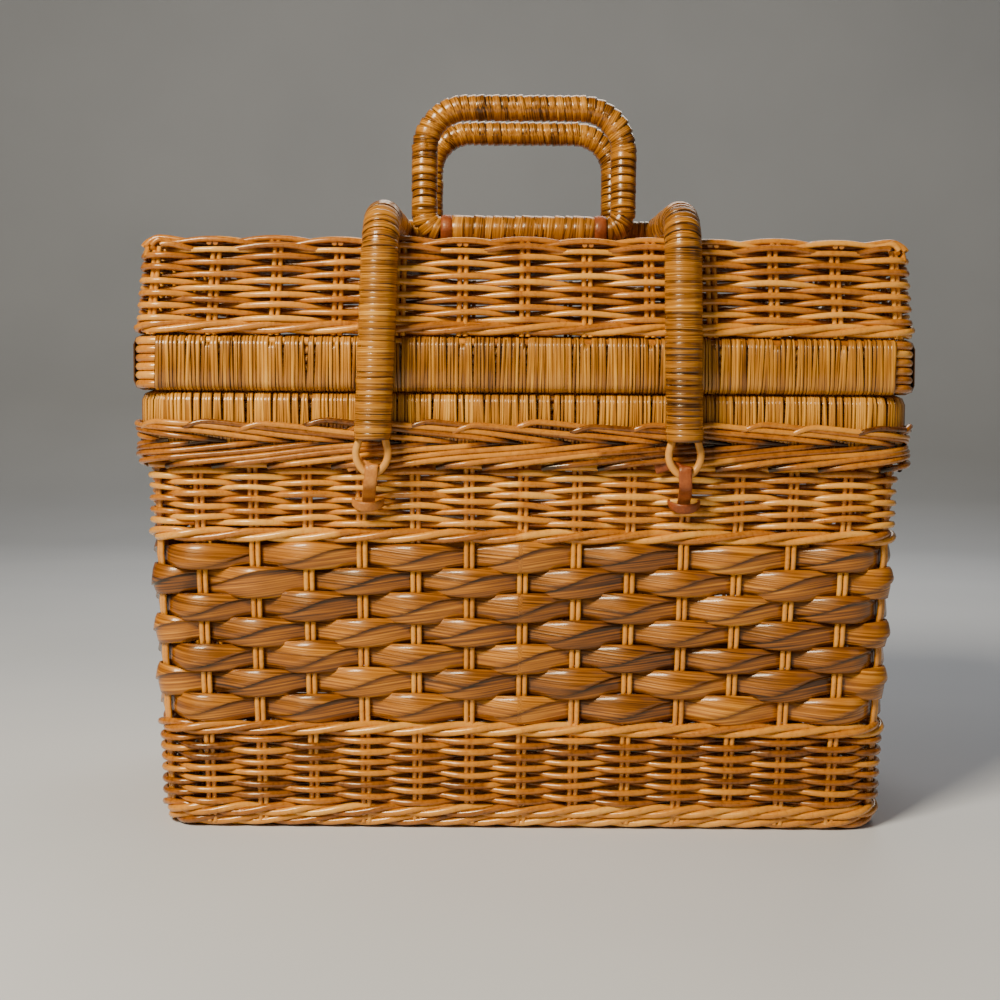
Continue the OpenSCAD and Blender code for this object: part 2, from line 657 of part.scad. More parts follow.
module strap_leg() {
  run = crossbar_y - leg_y - strap_bend;
  lap = turn_depth;
  translate([0, crossbar_y, crossbar_z]) rotate([90, 0, 0]) wrapped_rod(run + lap, strap_r);
  translate([0, leg_y, leg_top_z]) rotate([0, 0, 90]) rod_bend(strap_bend, strap_r);
  translate([0, leg_y, leg_end_z]) wrapped_rod(strap_leg_l + lap, strap_r);
}
module strap_bail() {
  color(cane) {
    at_leg(left_leg_x, left_lean) strap_leg();
    at_leg(right_leg_x, right_lean) strap_leg();
    for (x = [left_leg_x, right_leg_x]) translate([x, crossbar_y, crossbar_z]) sphere(strap_r - turn_depth / 2);
    translate([left_leg_x + crossbar_r / 2, crossbar_y, crossbar_z]) rotate([0, 90, 0])
      cylinder(h = right_leg_x - left_leg_x - crossbar_r, r = crossbar_r);
  }
}

// A cane eye with a short shank in the end of its leg
module cane_eye() {
  shank_r = eye_cane_r * 1.5;
  translate([0, leg_y, eye_z]) rotate([90, 0, 0]) rotate_extrude() translate([eye_r, 0]) circle(eye_cane_r);
  translate([0, leg_y, eye_z + eye_r]) cylinder(h = leg_end_z - eye_z - eye_r, r = shank_r);
}
module left_eye() { color(pale_cane) at_leg(left_leg_x, left_lean) cane_eye(); }
module right_eye() { color(pale_cane) at_leg(right_leg_x, right_lean) cane_eye(); }

// A flat strap through a list of points
module strap_path(points, t) {
  for (i = [0:len(points) - 2]) {
    step = points[i + 1] - points[i];
    translate(points[i]) rotate(atan2(step[1], step[0])) translate([0, -t / 2]) square([norm(step), t]);
    if (i > 0) translate(points[i]) circle(t / 2);
  }
}

// A tongue comes out under the border, goes through the eye, over its cane and down behind the keeper
module tongue(x) {
  root_y = -(border_b + border_t + seat_clear);
  front = eye_cane_r + tongue_clear + leather_t / 2;
  hole_r = eye_r - eye_cane_r - tongue_clear;
  over = eye_r - sqrt(hole_r * hole_r - tongue_w * tongue_w / 4) + leather_t / 2;
  keeper_top = keeper_z + keeper_h;
  wall_y = -half_d(keeper_top) - reed_wave - seat_clear;
  tuck = leather_t / 2 + (keeper_r - leather_t) * 0.2;
  color(leather) translate([x - tongue_w / 2, 0, 0]) rotate([90, 0, 90]) linear_extrude(tongue_w)
    strap_path([
      [root_y, eye_low_z + over + leather_t],
      [leg_y, eye_low_z + over],
      [leg_y - front * 0.8, eye_low_z + over * 0.8],
      [leg_y - front, eye_low_z],
      [leg_y - front * 0.4, eye_low_z - over * 1.6],
      [wall_y - tuck - leather_t, keeper_top + leather_t],
      [wall_y - tuck, keeper_z + keeper_h / 2],
      [wall_y - tuck, keeper_z - leather_t]
    ], leather_t);
}
function eye_x(x, lean) = leg_x(x, lean, eye_z);
module left_tongue() { tongue(eye_x(left_leg_x, left_lean)); }
module right_tongue() { tongue(eye_x(right_leg_x, right_lean)); }

// An arch of leather whose two ends go into the weave
module keeper(x) {
  wall_y = half_d(keeper_z + keeper_h) + reed_wave + seat_clear;
  color(leather) translate([x, -wall_y, keeper_z]) linear_extrude(keeper_h) intersection() {
    difference() {
      circle(keeper_r);
      circle(keeper_r - leather_t);
    }
    translate([-keeper_r, -keeper_r]) square([2 * keeper_r, keeper_r]);
  }
}
module left_keeper() { keeper(eye_x(left_leg_x, left_lean)); }
module right_keeper() { keeper(eye_x(right_leg_x, right_lean)); }

base();
foot_wale();
lower_weave();
lower_wale();
strip_band();
upper_wale();
upper_weave();
body_rim();
rolled_border();
left_hinge_ring();
right_hinge_ring();
lid_rim_core();
lid_wrap_front();
lid_wrap_rear();
lid_wrap_left();
lid_wrap_right();
lid_wale();
lid_weave();
lid_top();
front_ring_left();
front_ring_right();
rear_ring_left();
rear_ring_right();
front_grip();
front_grip_sleeve();
rear_grip();
rear_grip_sleeve();
strap_bail();
left_eye();
right_eye();
left_tongue();
right_tongue();
left_keeper();
right_keeper();
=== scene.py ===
"""Looks of a wicker sewing basket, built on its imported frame.

Every piece is made in metres in the frame's own axes: +X right, +Y back, +Z up, front at -Y.
"""

from math import cos, pi, radians, sin, sqrt

import bpy
import numpy as np
from bpy.props import FloatProperty, IntProperty, PointerProperty
from mathutils import Euler, Matrix, Vector


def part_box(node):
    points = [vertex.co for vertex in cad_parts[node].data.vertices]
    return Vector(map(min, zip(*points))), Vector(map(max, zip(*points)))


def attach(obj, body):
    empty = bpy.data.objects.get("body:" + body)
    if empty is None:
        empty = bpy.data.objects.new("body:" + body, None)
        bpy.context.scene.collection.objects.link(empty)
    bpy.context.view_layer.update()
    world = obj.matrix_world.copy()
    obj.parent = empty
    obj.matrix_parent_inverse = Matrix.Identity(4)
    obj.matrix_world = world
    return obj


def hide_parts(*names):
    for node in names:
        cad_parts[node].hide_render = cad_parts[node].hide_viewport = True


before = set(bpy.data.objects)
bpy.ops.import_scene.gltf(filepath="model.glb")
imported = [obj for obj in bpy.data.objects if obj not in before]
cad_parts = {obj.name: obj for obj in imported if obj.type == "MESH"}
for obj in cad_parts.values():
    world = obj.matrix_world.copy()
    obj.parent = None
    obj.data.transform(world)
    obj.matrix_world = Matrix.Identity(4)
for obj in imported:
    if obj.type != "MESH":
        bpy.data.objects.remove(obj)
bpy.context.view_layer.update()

bl_info = {
    "name": "Wicker Sewing Basket",
    "version": (1, 0, 0),
    "blender": (4, 5, 0),
    "location": "View3D > Sidebar > Basket",
    "description": "Builds the woven walls, rims, grips and closures of a wicker sewing basket",
    "category": "Object",
}

SEED = 11

# Stakes passed in one turn of a wale's twist, and in one turn of the foot's
WALE_LAP = 2.75
FOOT_LAP = 2.2
# Radii of the rods of the wales, the foot, the border, the lid's wale, the base and the eyes
WALE_R = 0.00195
FOOT_R = 0.0019
BORDER_R = 0.0015
LID_WALE_R = 0.0018
BASE_R = 0.00145
EYE_ROD_R = 0.0019
# Height, distance out, twist, phase, rods and thickness of each rope of the foot
FOOT_ROPES = (
    (0.0097, -0.0026, 0.0020, 0.0, 3, 1.0),
    (0.0046, -0.0046, 0.0019, 1.0, 3, 1.0),
    (0.0024, -0.0078, 0.0010, 2.0, 2, 0.75),
)
# Half the distance between the two rods of a pair of stakes
WALL_PAIR = 0.00155
LID_PAIR = 0.0016
# Length of a turn of cane along the grips, the sleeves, the strap legs and the crossbar
GRIP_TURN = 0.0043
SLEEVE_TURN = 0.0056
STRAP_TURN = 0.003
BAR_TURN = 0.0034
# How much lighter the cane is painted on the body rim, the lid rim, the grips and the two strap legs; the
# right leg's lower value is painted shade
BODY_RIM_LIGHT = 0.5
LID_RIM_LIGHT = 0.2
GRIP_LIGHT = -0.15
LEFT_LEG_LIGHT = 0.0
# Painted shade: the right leg is painted darker than the left.
RIGHT_LEG_PAINTED_LIGHT = -0.2
# Radii of the leather loops at their middle, and half their width and thickness
GRIP_LOOP_R = 0.0071
BAR_LOOP_R = 0.0073
LOOP_HALF_W = 0.0035
LOOP_HALF_T = 0.0013
# Place, downward pitch and roll of the camera, and its lens in millimetres
CAMERA_PLACE = (-0.0118, -0.9597, 0.2242)
CAMERA_PITCH = 3.63
CAMERA_ROLL = 0.4
CAMERA_LENS = 60.0
# Name, place, size, power and colour of each light, and the point that they face
LIGHTS = (
    ("key", (-0.72, -1.15, 1.15), 0.5, 47.0, (1.0, 0.87, 0.66)),
    ("fill", (1.1, -0.9, 0.8), 0.9, 1.2, (0.95, 0.97, 1.0)),
    ("back", (0.2, 1.2, 1.2), 1.0, 10.0, (1.0, 0.97, 0.92)),
)
LIGHT_AIM = (0.0, 0.0, 0.17)


def length(name, default, description):
    """A length property in metres."""
    return FloatProperty(name=name, description=description, default=default, unit="LENGTH", precision=5)


class BasketWall(bpy.types.PropertyGroup):
    half_w: length("Half width", 0.1935, "Half the width of the wall under the rim")
    half_d: length("Half depth", 0.119, "Half the depth of the wall under the rim")
    corner_r: length("Corner radius", 0.022, "Plan radius of the corners")
    lean: length("Lean", 0.0065, "How far each wall leans in at the floor")
    rim_z: length("Rim height", 0.1964, "Height of the rim's seat")
    reed_r: length("Reed radius", 0.0016, "Radius of a woven reed")
    stake_r: length("Stake radius", 0.00135, "Radius of a stake rod")
    row: length("Row pitch", 0.00292, "Height of one woven row")
    swing: length("Swing", 0.0026, "How far a reed swings out and in round a stake")
    depth: length("Depth", 0.0028, "How far the middle of the weave lies inside the wall's outer face")
    stakes: IntProperty(name="Stakes", description="Pairs of stakes round the wall", default=44)


class BasketBands(bpy.types.PropertyGroup):
    foot_h: length("Foot height", 0.013, "Height of the foot wale")
    lower_z: length("Lower weave top", 0.048, "Top of the lower weave")
    strip_z: length("Strip foot", 0.0568, "Foot of the bark strips")
    strip_row: length("Strip row", 0.013, "Height of one row of bark strip")
    strip_wide: length("Strip width", 0.0152, "Height of a strip where it passes over a stake")
    strip_narrow: length("Strip waist", 0.0094, "Height of a strip between two stakes")
    strip_rows: IntProperty(name="Strip rows", description="Rows of bark strip", default=7)
    wale_h: length("Wale height", 0.0088, "Height of a wale")
    border_low: length("Border foot", 0.1856, "Foot of the rolled border")
    border_high: length("Border top", 0.2118, "Top of the rolled border")


class BasketRims(bpy.types.PropertyGroup):
    body_z: length("Body rim foot", 0.1964, "Foot of the body rim")
    body_h: length("Body rim height", 0.0285, "Height of the body rim")
    body_half_w: length("Body rim half width", 0.1963, "Half the width of the body rim")
    body_half_d: length("Body rim half depth", 0.1218, "Half the depth of the body rim")
    body_corner: length("Body rim corner", 0.0248, "Plan radius of the body rim's corners")
    lid_z: length("Lid rim foot", 0.2251, "Foot of the lid rim")
    lid_h: length("Lid rim height", 0.028, "Height of the lid rim")
    lid_half_w: length("Lid rim half width", 0.1987, "Half the width of the lid rim")
    lid_half_d: length("Lid rim half depth", 0.1242, "Half the depth of the lid rim")
    lid_corner: length("Lid rim corner", 0.014, "Plan radius of the lid rim's corners")
    thick: length("Thickness", 0.0115, "Thickness of a rim")
    turn: length("Turn width", 0.0019, "Width of one turn of cane")


class BasketLid(bpy.types.PropertyGroup):
    wale_z: length("Lid wale foot", 0.2531, "Foot of the lid's wale")
    weave_z: length("Lid weave foot", 0.2604, "Foot of the lid's weave")
    top_z: length("Lid top", 0.297, "Underside of the lid's top")
    half_w: length("Lid half width", 0.1972, "Half the width of the lid's wall at its foot")
    half_d: length("Lid half depth", 0.1227, "Half the depth of the lid's wall at its foot")
    lean: length("Lid lean", 0.0025, "How far the lid's wall leans in at the top")
    corner: length("Lid corner", 0.014, "Plan radius of the lid's corners")
    dome: length("Dome", 0.0014, "Rise of the lid's top in the middle")
    edge: length("Edge", 0.0052, "Radius of the top's rounded edges along the width")
    end: length("End", 0.0085, "Radius of the top's rounded edges at the two ends")
    rows: IntProperty(name="Lid rows", description="Rows of reed on the lid's wall", default=12)
    stakes: IntProperty(name="Lid stakes", description="Pairs of stakes round the lid", default=40)
    top_rows: IntProperty(name="Top rows", description="Rows of reed on the lid's top", default=68)


class BasketHandles(bpy.types.PropertyGroup):
    grip_y: length("Grip place", 0.0445, "Distance of a grip from the middle")
    grip_z: length("Grip bar height", 0.3132, "Height of a grip's bar")
    grip_half: length("Grip half width", 0.054, "Half the width of a grip at its rod's middle")
    grip_h: length("Grip height", 0.0658, "Height of a grip over its bar")
    grip_r: length("Grip radius", 0.007, "Radius of the wrapped grip rod")
    sleeve_r: length("Sleeve radius", 0.008, "Radius of the sleeve on a grip's bar")
    sleeve_l: length("Sleeve length", 0.076, "Length of the sleeve")
    strap_r: length("Strap radius", 0.0093, "Radius of a strap leg")
    bar_r: length("Crossbar radius", 0.0058, "Radius of the crossbar")
    bar_y: length("Crossbar place", -0.0275, "Place of the crossbar along the depth")
    bar_z: length("Crossbar height", 0.3145, "Height of the crossbar")
    leg_y: length("Leg place", -0.1352, "Place of the strap legs along the depth")
    leg_end: length("Leg end", 0.2018, "Height of the lower end of a leg")
    left_x: length("Left leg", -0.071, "Place of the left leg on the lid")
    right_x: length("Right leg", 0.077, "Place of the right leg on the lid")
    left_lean: FloatProperty(name="Left lean", description="Lean of the left leg", default=radians(2.1),
                             subtype="ANGLE")
    right_lean: FloatProperty(name="Right lean", description="Lean of the right leg", default=radians(-1.2),
                              subtype="ANGLE")
    eye_r: length("Eye radius", 0.0076, "Radius of a cane eye")
    eye_z: length("Eye height", 0.1923, "Height of the middle of an eye")


class Wall:
    """A leaning rounded rectangle, addressed by the distance round it, the height and the distance out."""

    def __init__(self, half_w, half_d, corner, foot_z=0.0, head_z=1.0, lean=0.0):
        self.half_w = half_w
        self.half_d = half_d
        self.corner = corner
        self.foot_z = foot_z
        self.head_z = head_z
        self.lean = lean
        a = half_w - corner
        b = half_d - corner
        q = pi * corner / 2
        steps = [a, q, 2 * b, q, 2 * a, q, 2 * b, q, a]
        self.marks = np.concatenate([[0.0], np.cumsum(steps)])
        self.length = self.marks[-1]

    def share(self, along):
        """Shares of the core rectangle and the outward angle at a distance from the front's middle."""
        s = np.mod(along, self.length)
        x = np.interp(s, self.marks, [0, 1, 1, 1, 1, -1, -1, -1, -1, 0])
        y = np.interp(s, self.marks, [-1, -1, -1, 1, 1, 1, 1, -1, -1, -1])
        turn = np.interp(s, self.marks, [-pi / 2, -pi / 2, 0, 0, pi / 2, pi / 2, pi, pi, 1.5 * pi, 1.5 * pi])
        return x, y, turn

    def samples(self, on_corner, on_side):
        """Distances round the wall, close together on the corners and far apart on the straight sides."""
        runs = []
        for k in range(9):
            count = on_corner if k % 2 else on_side
            runs.append(np.linspace(self.marks[k], self.marks[k + 1], count, endpoint=False))
        return np.concatenate(runs)

    def place(self, along, z, out):
        """Points in space. Each of the three may be one number or one for each point."""
        x, y, turn = self.share(along)
        shrink = self.lean * (1 - (z - self.foot_z) / (self.head_z - self.foot_z))
        reach = self.corner + out
        px = x * (self.half_w - shrink - self.corner) + np.cos(turn) * reach
        py = y * (self.half_d - shrink - self.corner) + np.sin(turn) * reach
        return np.stack([px, py, z + 0 * px], axis=-1)


class Strands:
    """Rods that follow paths.

    Each point of a path keeps a tone, a distance along it, a thickness and a deep value, painted shade that
    darkens it where it lies deep.
    """

    def __init__(self, seed):
        self.random = np.random.default_rng(SEED + seed)
        self.points = []
        self.edges = []
        self.tone = []
        self.along = []
        self.thick = []
        self.deep = []
        self.count = 0

    def patches(self, along, patch=0.35):
        """Tones that change from one length of reed to the next."""
        shades = self.random.random(64)
        start = self.random.random() * patch
        return shades[((along + start) / patch).astype(int) % 64]

    def add(self, points, closed=False, tone=None, thick=1.0, deep=0.0):
        points = np.asarray(points, dtype=float)
        n = len(points)
        steps = np.linalg.norm(np.diff(points, axis=0), axis=1)
        along = np.concatenate([[0.0], np.cumsum(steps)])
        first = self.count
        ends = np.arange(first, first + n)
        edges = np.stack([ends[:-1], ends[1:]], axis=1)
        if closed:
            edges = np.concatenate([edges, [[first + n - 1, first]]])
        self.points.append(points)
        self.edges.append(edges)
        self.along.append(along + self.random.random() * 10)
        shade = self.patches(along) if tone is None else np.full(n, tone)
        self.tone.append(shade)
        self.thick.append(np.broadcast_to(np.asarray(thick, dtype=float), (n,)))
        self.deep.append(np.broadcast_to(np.asarray(deep, dtype=float), (n,)))
        self.count += n

    def sweep(self, name, radius, material, sides=7):
        """One plain mesh of round rods along all the paths."""
        source = point_mesh(name + "_paths", np.concatenate(self.points), np.concatenate(self.edges))
        for key in ("tone", "along", "thick", "deep"):
            store(source.data, key, np.concatenate(getattr(self, key)))
        shape(source, rod_tree(), {"Radius": radius, "Sides": sides, "Material": material})
        return settle(source, name)


def point_mesh(name, points, edges=()):
    """An object of points and edges."""
    mesh = bpy.data.meshes.new(name)
    mesh.from_pydata([tuple(p) for p in points], [tuple(int(i) for i in e) for e in edges], [])
    made = bpy.data.objects.new(name, mesh)
    bpy.context.collection.objects.link(made)
    return made


def store(mesh, name, values, kind="FLOAT"):
    """Keeps one value, or one vector, for each point."""
    layer = mesh.attributes.new(name, kind, "POINT")
    field = "vector" if kind == "FLOAT_VECTOR" else "value"
    layer.data.foreach_set(field, np.ascontiguousarray(values, dtype=np.float32).ravel())


def solid(name, points, faces, material):
    """A smooth mesh object from points and faces."""
    mesh = bpy.data.meshes.new(name)
    mesh.from_pydata([tuple(p) for p in points], [], [tuple(int(i) for i in f) for f in faces])
    mesh.materials.append(material)
    mesh.polygons.foreach_set("use_smooth", [True] * len(mesh.polygons))
    mesh.update()
    made = bpy.data.objects.new(name, mesh)
    bpy.context.collection.objects.link(made)
    return made


def loft(rings, closed_path, first=0):
    """Faces between rings of points, with caps where the path is open."""
    count = len(rings)
    n = len(rings[0])
    spans = count if closed_path else count - 1
    faces = []
    for j in range(spans):
        k = (j + 1) % count
        for i in range(n):
            m = (i + 1) % n
            faces.append((first + j * n + i, first + j * n + m, first + k * n + m, first + k * n + i))
    if not closed_path:
        faces.append(tuple(first + i for i in reversed(range(n))))
        faces.append(tuple(first + (count - 1) * n + i for i in range(n)))
    return faces


class Shell:
    """Points and faces of a mesh that is put together from lofts."""

    def __init__(self):
        self.points = []
        self.faces = []

    def add(self, rings, closed_path):
        self.faces.extend(loft(rings, closed_path, first=len(self.points)))
        self.points.extend(p for ring in rings for p in ring)

    def build(self, name, material):
        return solid(name, self.points, self.faces, material)


def shape(made, tree, values):
    """Adds a node tree to an object and sets its named inputs."""
    modifier = made.modifiers.new(tree.name, "NODES")
    modifier.node_group = tree
    for item in tree.interface.items_tree:
        if item.item_type == "SOCKET" and item.in_out == "INPUT" and item.name in values:
            modifier[item.identifier] = values[item.name]


def discard(made):
    """Removes an object and its mesh."""
    mesh = made.data
    bpy.data.objects.remove(made)
    bpy.data.meshes.remove(mesh)


def settle(source, name):
    """Turns an object with a node tree into a plain mesh, and removes the source."""
    graph = bpy.context.evaluated_depsgraph_get()
    mesh = bpy.data.meshes.new_from_object(source.evaluated_get(graph), depsgraph=graph)
    mesh.name = name
    discard(source)
    made = bpy.data.objects.new(name, mesh)
    bpy.context.collection.objects.link(made)
    return made


def new_tree(name, inputs):
    """An empty geometry node tree with a mesh input, the named inputs and a mesh output."""
    tree = bpy.data.node_groups.new(name, "GeometryNodeTree")
    tree.interface.new_socket("Geometry", in_out="INPUT", socket_type="NodeSocketGeometry")
    for key, kind in inputs:
        tree.interface.new_socket(key, in_out="INPUT", socket_type=kind)
    tree.interface.new_socket("Geometry", in_out="OUTPUT", socket_type="NodeSocketGeometry")
    return tree, tree.nodes.new("NodeGroupInput"), tree.nodes.new("NodeGroupOutput")


def named_value(tree, name, kind="FLOAT"):
    """The output of a node that reads a named value of each point."""
    node = tree.nodes.new("GeometryNodeInputNamedAttribute")
    node.data_type = kind
    node.inputs["Name"].default_value = name
    return node.outputs["Attribute"]


def chain(tree, *nodes):
    """Links the first output of each node to the first input of the next."""
    for node, following in zip(nodes, nodes[1:]):
        tree.links.new(node.outputs[0], following.inputs[0])


def rod_tree():
    """Sweeps a round section along every path."""
    if "Swept rods" in bpy.data.node_groups:
        return bpy.data.node_groups["Swept rods"]
    tree, given, result = new_tree("Swept rods", [
        ("Radius", "NodeSocketFloat"), ("Sides", "NodeSocketInt"), ("Material", "NodeSocketMaterial")])
    curve = tree.nodes.new("GeometryNodeMeshToCurve")
    section = tree.nodes.new("GeometryNodeCurvePrimitiveCircle")
    sweep = tree.nodes.new("GeometryNodeCurveToMesh")
    smooth = tree.nodes.new("GeometryNodeSetShadeSmooth")
    whole = tree.nodes.new("GeometryNodeRealizeInstances")
    paint = tree.nodes.new("GeometryNodeSetMaterial")
    sweep.inputs["Fill Caps"].default_value = True
    chain(tree, given, curve, sweep, smooth, whole, paint, result)
    tree.links.new(given.outputs["Radius"], section.inputs["Radius"])
    tree.links.new(given.outputs["Sides"], section.inputs["Resolution"])
    tree.links.new(section.outputs["Curve"], sweep.inputs["Profile Curve"])
    tree.links.new(named_value(tree, "thick"), sweep.inputs["Scale"])
    tree.links.new(given.outputs["Material"], paint.inputs["Material"])
    return tree


def turn_tree():
    """Puts one turn of cane on every point, turned and sized by the point's own values."""
    if "Wrapped turns" in bpy.data.node_groups:
        return bpy.data.node_groups["Wrapped turns"]
    tree, given, result = new_tree("Wrapped turns", [
        ("Turn", "NodeSocketObject"), ("Material", "NodeSocketMaterial")])
    turn = tree.nodes.new("GeometryNodeObjectInfo")
    facing = tree.nodes.new("FunctionNodeEulerToRotation")
    spread = tree.nodes.new("GeometryNodeInstanceOnPoints")
    whole = tree.nodes.new("GeometryNodeRealizeInstances")
    paint = tree.nodes.new("GeometryNodeSetMaterial")
    chain(tree, given, spread, whole, paint, result)
    tree.links.new(given.outputs["Turn"], turn.inputs["Object"])
    tree.links.new(turn.outputs["Geometry"], spread.inputs["Instance"])
    tree.links.new(named_value(tree, "facing", "FLOAT_VECTOR"), facing.inputs["Euler"])
    tree.links.new(facing.outputs["Rotation"], spread.inputs["Rotation"])
    tree.links.new(named_value(tree, "size", "FLOAT_VECTOR"), spread.inputs["Scale"])
    tree.links.new(given.outputs["Material"], paint.inputs["Material"])
    return tree


class Turns:
    """Places for turns of cane, each with a facing, a size and a tone."""

    def __init__(self, seed):
        self.random = np.random.default_rng(SEED + seed)
        self.points = []
        self.facing = []
        self.size = []
        self.tone = []

    def add(self, point, facing, size=(1.0, 1.0, 1.0), light=0.0):
        self.points.append(tuple(point))
        self.facing.append(tuple(facing))
        self.size.append(tuple(size))
        self.tone.append(self.random.random() + light)

    def wrap(self, name, turn, material):
        """One plain mesh of all the turns. The single turn is removed."""
        source = point_mesh(name + "_places", self.points)
        store(source.data, "facing", np.array(self.facing), "FLOAT_VECTOR")
        store(source.data, "size", np.array(self.size), "FLOAT_VECTOR")
        store(source.data, "tone", np.array(self.tone))
        shape(source, turn_tree(), {"Turn": turn, "Material": material})
        made = settle(source, name)
        discard(turn)
        return made


def grain_map(made, places):
    """Grain coordinates from one place per point."""
    layer = made.data.uv_layers.new(name="grain")
    corners = np.zeros(len(made.data.loops), dtype=np.int32)
    made.data.loops.foreach_get("vertex_index", corners)
    layer.data.foreach_set("uv", np.asarray(places)[corners].astype(np.float32).ravel())


def cane_turn(rings, section, width, depths, material):
    """One turn of cane from its rings, with a grain along it and the depths of its section, which paint shade
    at the turn's edges.
    """
    shell = Shell()
    shell.add(rings, True)
    made = shell.build("turn", material)
    store(made.data, "deep", np.tile(depths, len(rings)))
    starts = np.array([ring[0] for ring in rings])
    run = np.concatenate([[0.0], np.cumsum(np.linalg.norm(np.diff(starts, axis=0), axis=1))])
    grain_map(made, [(run[j], (u + 2 * v) * width) for j in range(len(rings)) for u, v in section])
    return made


def rim_turn(width, thick, height, material):
    """One flat turn of cane round a rim: width along X, outward along -Y, its foot at z = 0."""
    corner = min(thick, height) * 0.42
    centres = [(-thick / 2 + corner, corner), (-thick / 2 + corner, height - corner),
               (thick / 2 - corner, height - corner), (thick / 2 - corner, corner)]
    outline = []
    for index, (cy, cz) in enumerate(centres):
        for step in range(3):
            angle = 1.5 * pi - pi / 2 * index - pi / 4 * step
            outline.append((cy, cz, cos(angle), sin(angle)))
    section = [(-0.54, -0.9), (-0.54, -0.12), (-0.27, 0.0), (0.27, 0.0), (0.54, -0.12), (0.54, -0.9)]
    crown = width * 0.55
    rings = []
    for cy, cz, ny, nz in outline:
        rings.append([(u * width, cy + ny * (corner + v * crown), cz + nz * (corner + v * crown))
                      for u, v in section])
    # Painted shade: the turn's edges are darker, where it meets the next turn.
    return cane_turn(rings, section, width, [1.0, 0.8, 0.0, 0.0, 0.8, 1.0], material)


def rod_turn(width, radius, material, sides=18):
    """One turn of cane round a rod along Z."""
    section = [(0.56, -0.22), (0.56, -0.05), (0.3, 0.0), (-0.3, 0.0), (-0.56, -0.05), (-0.56, -0.22)]
    rings = []
    for i in range(sides):
        angle = 2 * pi * i / sides
        rings.append([(cos(angle) * (radius + v * width), sin(angle) * (radius + v * width), u * width)
                      for u, v in section])
    # Painted shade: the turn's edges are darker, where it meets the next turn.
    return cane_turn(rings, section, width, [0.8, 0.42, 0.0, 0.0, 0.42, 0.8], material)


def rounded_path(corners, radii, step):
    """Points along a path of straight runs with rounded corners, a step apart."""
    corners = [Vector(c) for c in corners]
    dense = [corners[0]]
    for i in range(1, len(corners) - 1):
        into = (corners[i] - corners[i - 1]).normalized()
        away = (corners[i + 1] - corners[i]).normalized()
        half = into.angle(away) / 2
        back = radii[i] * np.tan(half)
        start = corners[i] - into * back
        middle = start + (away - into * into.dot(away)).normalized() * radii[i]
        arm = start - middle
        axis = into.cross(away).normalized()
        for k in range(25):
            dense.append(middle + Matrix.Rotation(2 * half * k / 24, 3, axis) @ arm)
    dense.append(corners[-1])
    line = np.array([tuple(p) for p in dense])
    marks = np.concatenate([[0.0], np.cumsum(np.linalg.norm(np.diff(line, axis=0), axis=1))])
    count = max(2, int(round(marks[-1] / step)))
    places = (np.arange(count) + 0.5) * marks[-1] / count
    points = np.stack([np.interp(places, marks, line[:, k]) for k in range(3)], axis=1)
    ahead = np.stack([np.interp(places + step / 4, marks, line[:, k]) for k in range(3)], axis=1)
    behind = np.stack([np.interp(places - step / 4, marks, line[:, k]) for k in range(3)], axis=1)
    return points, ahead - behind


def wrap_rod(turns, points, headings, tilt=0.1, wobble=0.03, light=0.0):
    """Adds turns along a rod's path, each a little tilted, lighter or darker than plain cane."""
    for point, heading in zip(points, headings):
        facing = Vector(heading).to_track_quat("Z", "Y").to_matrix()
        lean = Euler((tilt + wobble * turns.random.normal(), wobble * turns.random.normal(), 0)).to_matrix()
        grow = 1 + 0.013 * turns.random.normal()
        wide = 1.04 + 0.14 * turns.random.normal()
        turns.add(point, (facing @ lean).to_euler(), (grow, grow, wide), light)


def smooth_path(points, per=6):
    """A smooth curve through a list of points."""
    points = np.asarray(points, dtype=float)
    padded = np.concatenate([[2 * points[0] - points[1]], points, [2 * points[-1] - points[-2]]])
    t = np.linspace(0, 1, per, endpoint=False)[:, None]
    runs = []
    for i in range(len(points) - 1):
        a, b, c, d = padded[i:i + 4]
        bend = 2 * b + (c - a) * t + (2 * a - 5 * b + 4 * c - d) * t ** 2 + (3 * b - a - 3 * c + d) * t ** 3
        runs.append(bend / 2)
    runs.append(points[-1:])
    return np.concatenate(runs)


def band(path, sides, widths, thick):
    """Rings of points for a soft flat strap along a path, wide towards the given sides."""
    path = np.asarray(path, dtype=float)
    heading = np.gradient(path, axis=0)
    heading = heading / np.linalg.norm(heading, axis=1)[:, None]
    sides = np.broadcast_to(np.asarray(sides, dtype=float), path.shape)
    sides = sides - heading * np.sum(sides * heading, axis=1)[:, None]
    sides = sides / np.linalg.norm(sides, axis=1)[:, None]
    normals = np.cross(heading, sides)
    widths = np.broadcast_to(np.asarray(widths, dtype=float), len(path))
    angle = 2 * pi * np.arange(14) / 14
    across = np.sign(np.cos(angle)) * np.abs(np.cos(angle)) ** 0.6 / 2
    deep = np.sign(np.sin(angle)) * np.abs(np.sin(angle)) ** 0.8 * thick / 2
    return [path[i] + np.outer(across * widths[i], sides[i]) + np.outer(deep, normals[i])
            for i in range(len(path))]


def strap(name, path, sides, widths, thick, material):
    """A soft flat strap as one mesh."""
    shell = Shell()
    shell.add(band(path, sides, widths, thick), False)
    return shell.build(name, material)


class Sock:
    """A shader socket that can be added, multiplied and mixed."""

    def __init__(self, tree, socket):
        self.tree = tree
        self.socket = socket

    def math(self, operation, other=0.0, clamp=False):
        node = self.tree.nodes.new("ShaderNodeMath")
        node.operation = operation
        node.use_clamp = clamp
        plug(self.tree, node.inputs[0], self)
        plug(self.tree, node.inputs[1], other)
        return Sock(self.tree, node.outputs[0])

    def __add__(self, other):
        return self.math("ADD", other)

    def __sub__(self, other):
        return self.math("SUBTRACT", other)

    def __mul__(self, other):
        return self.math("MULTIPLY", other)

    def clamped(self):
        return self.math("ADD", 0.0, clamp=True)


def plug(tree, target, value):
    """Links a socket, or sets a constant."""
    if isinstance(value, Sock):
        tree.links.new(value.socket, target)
    else:
        target.default_value = value


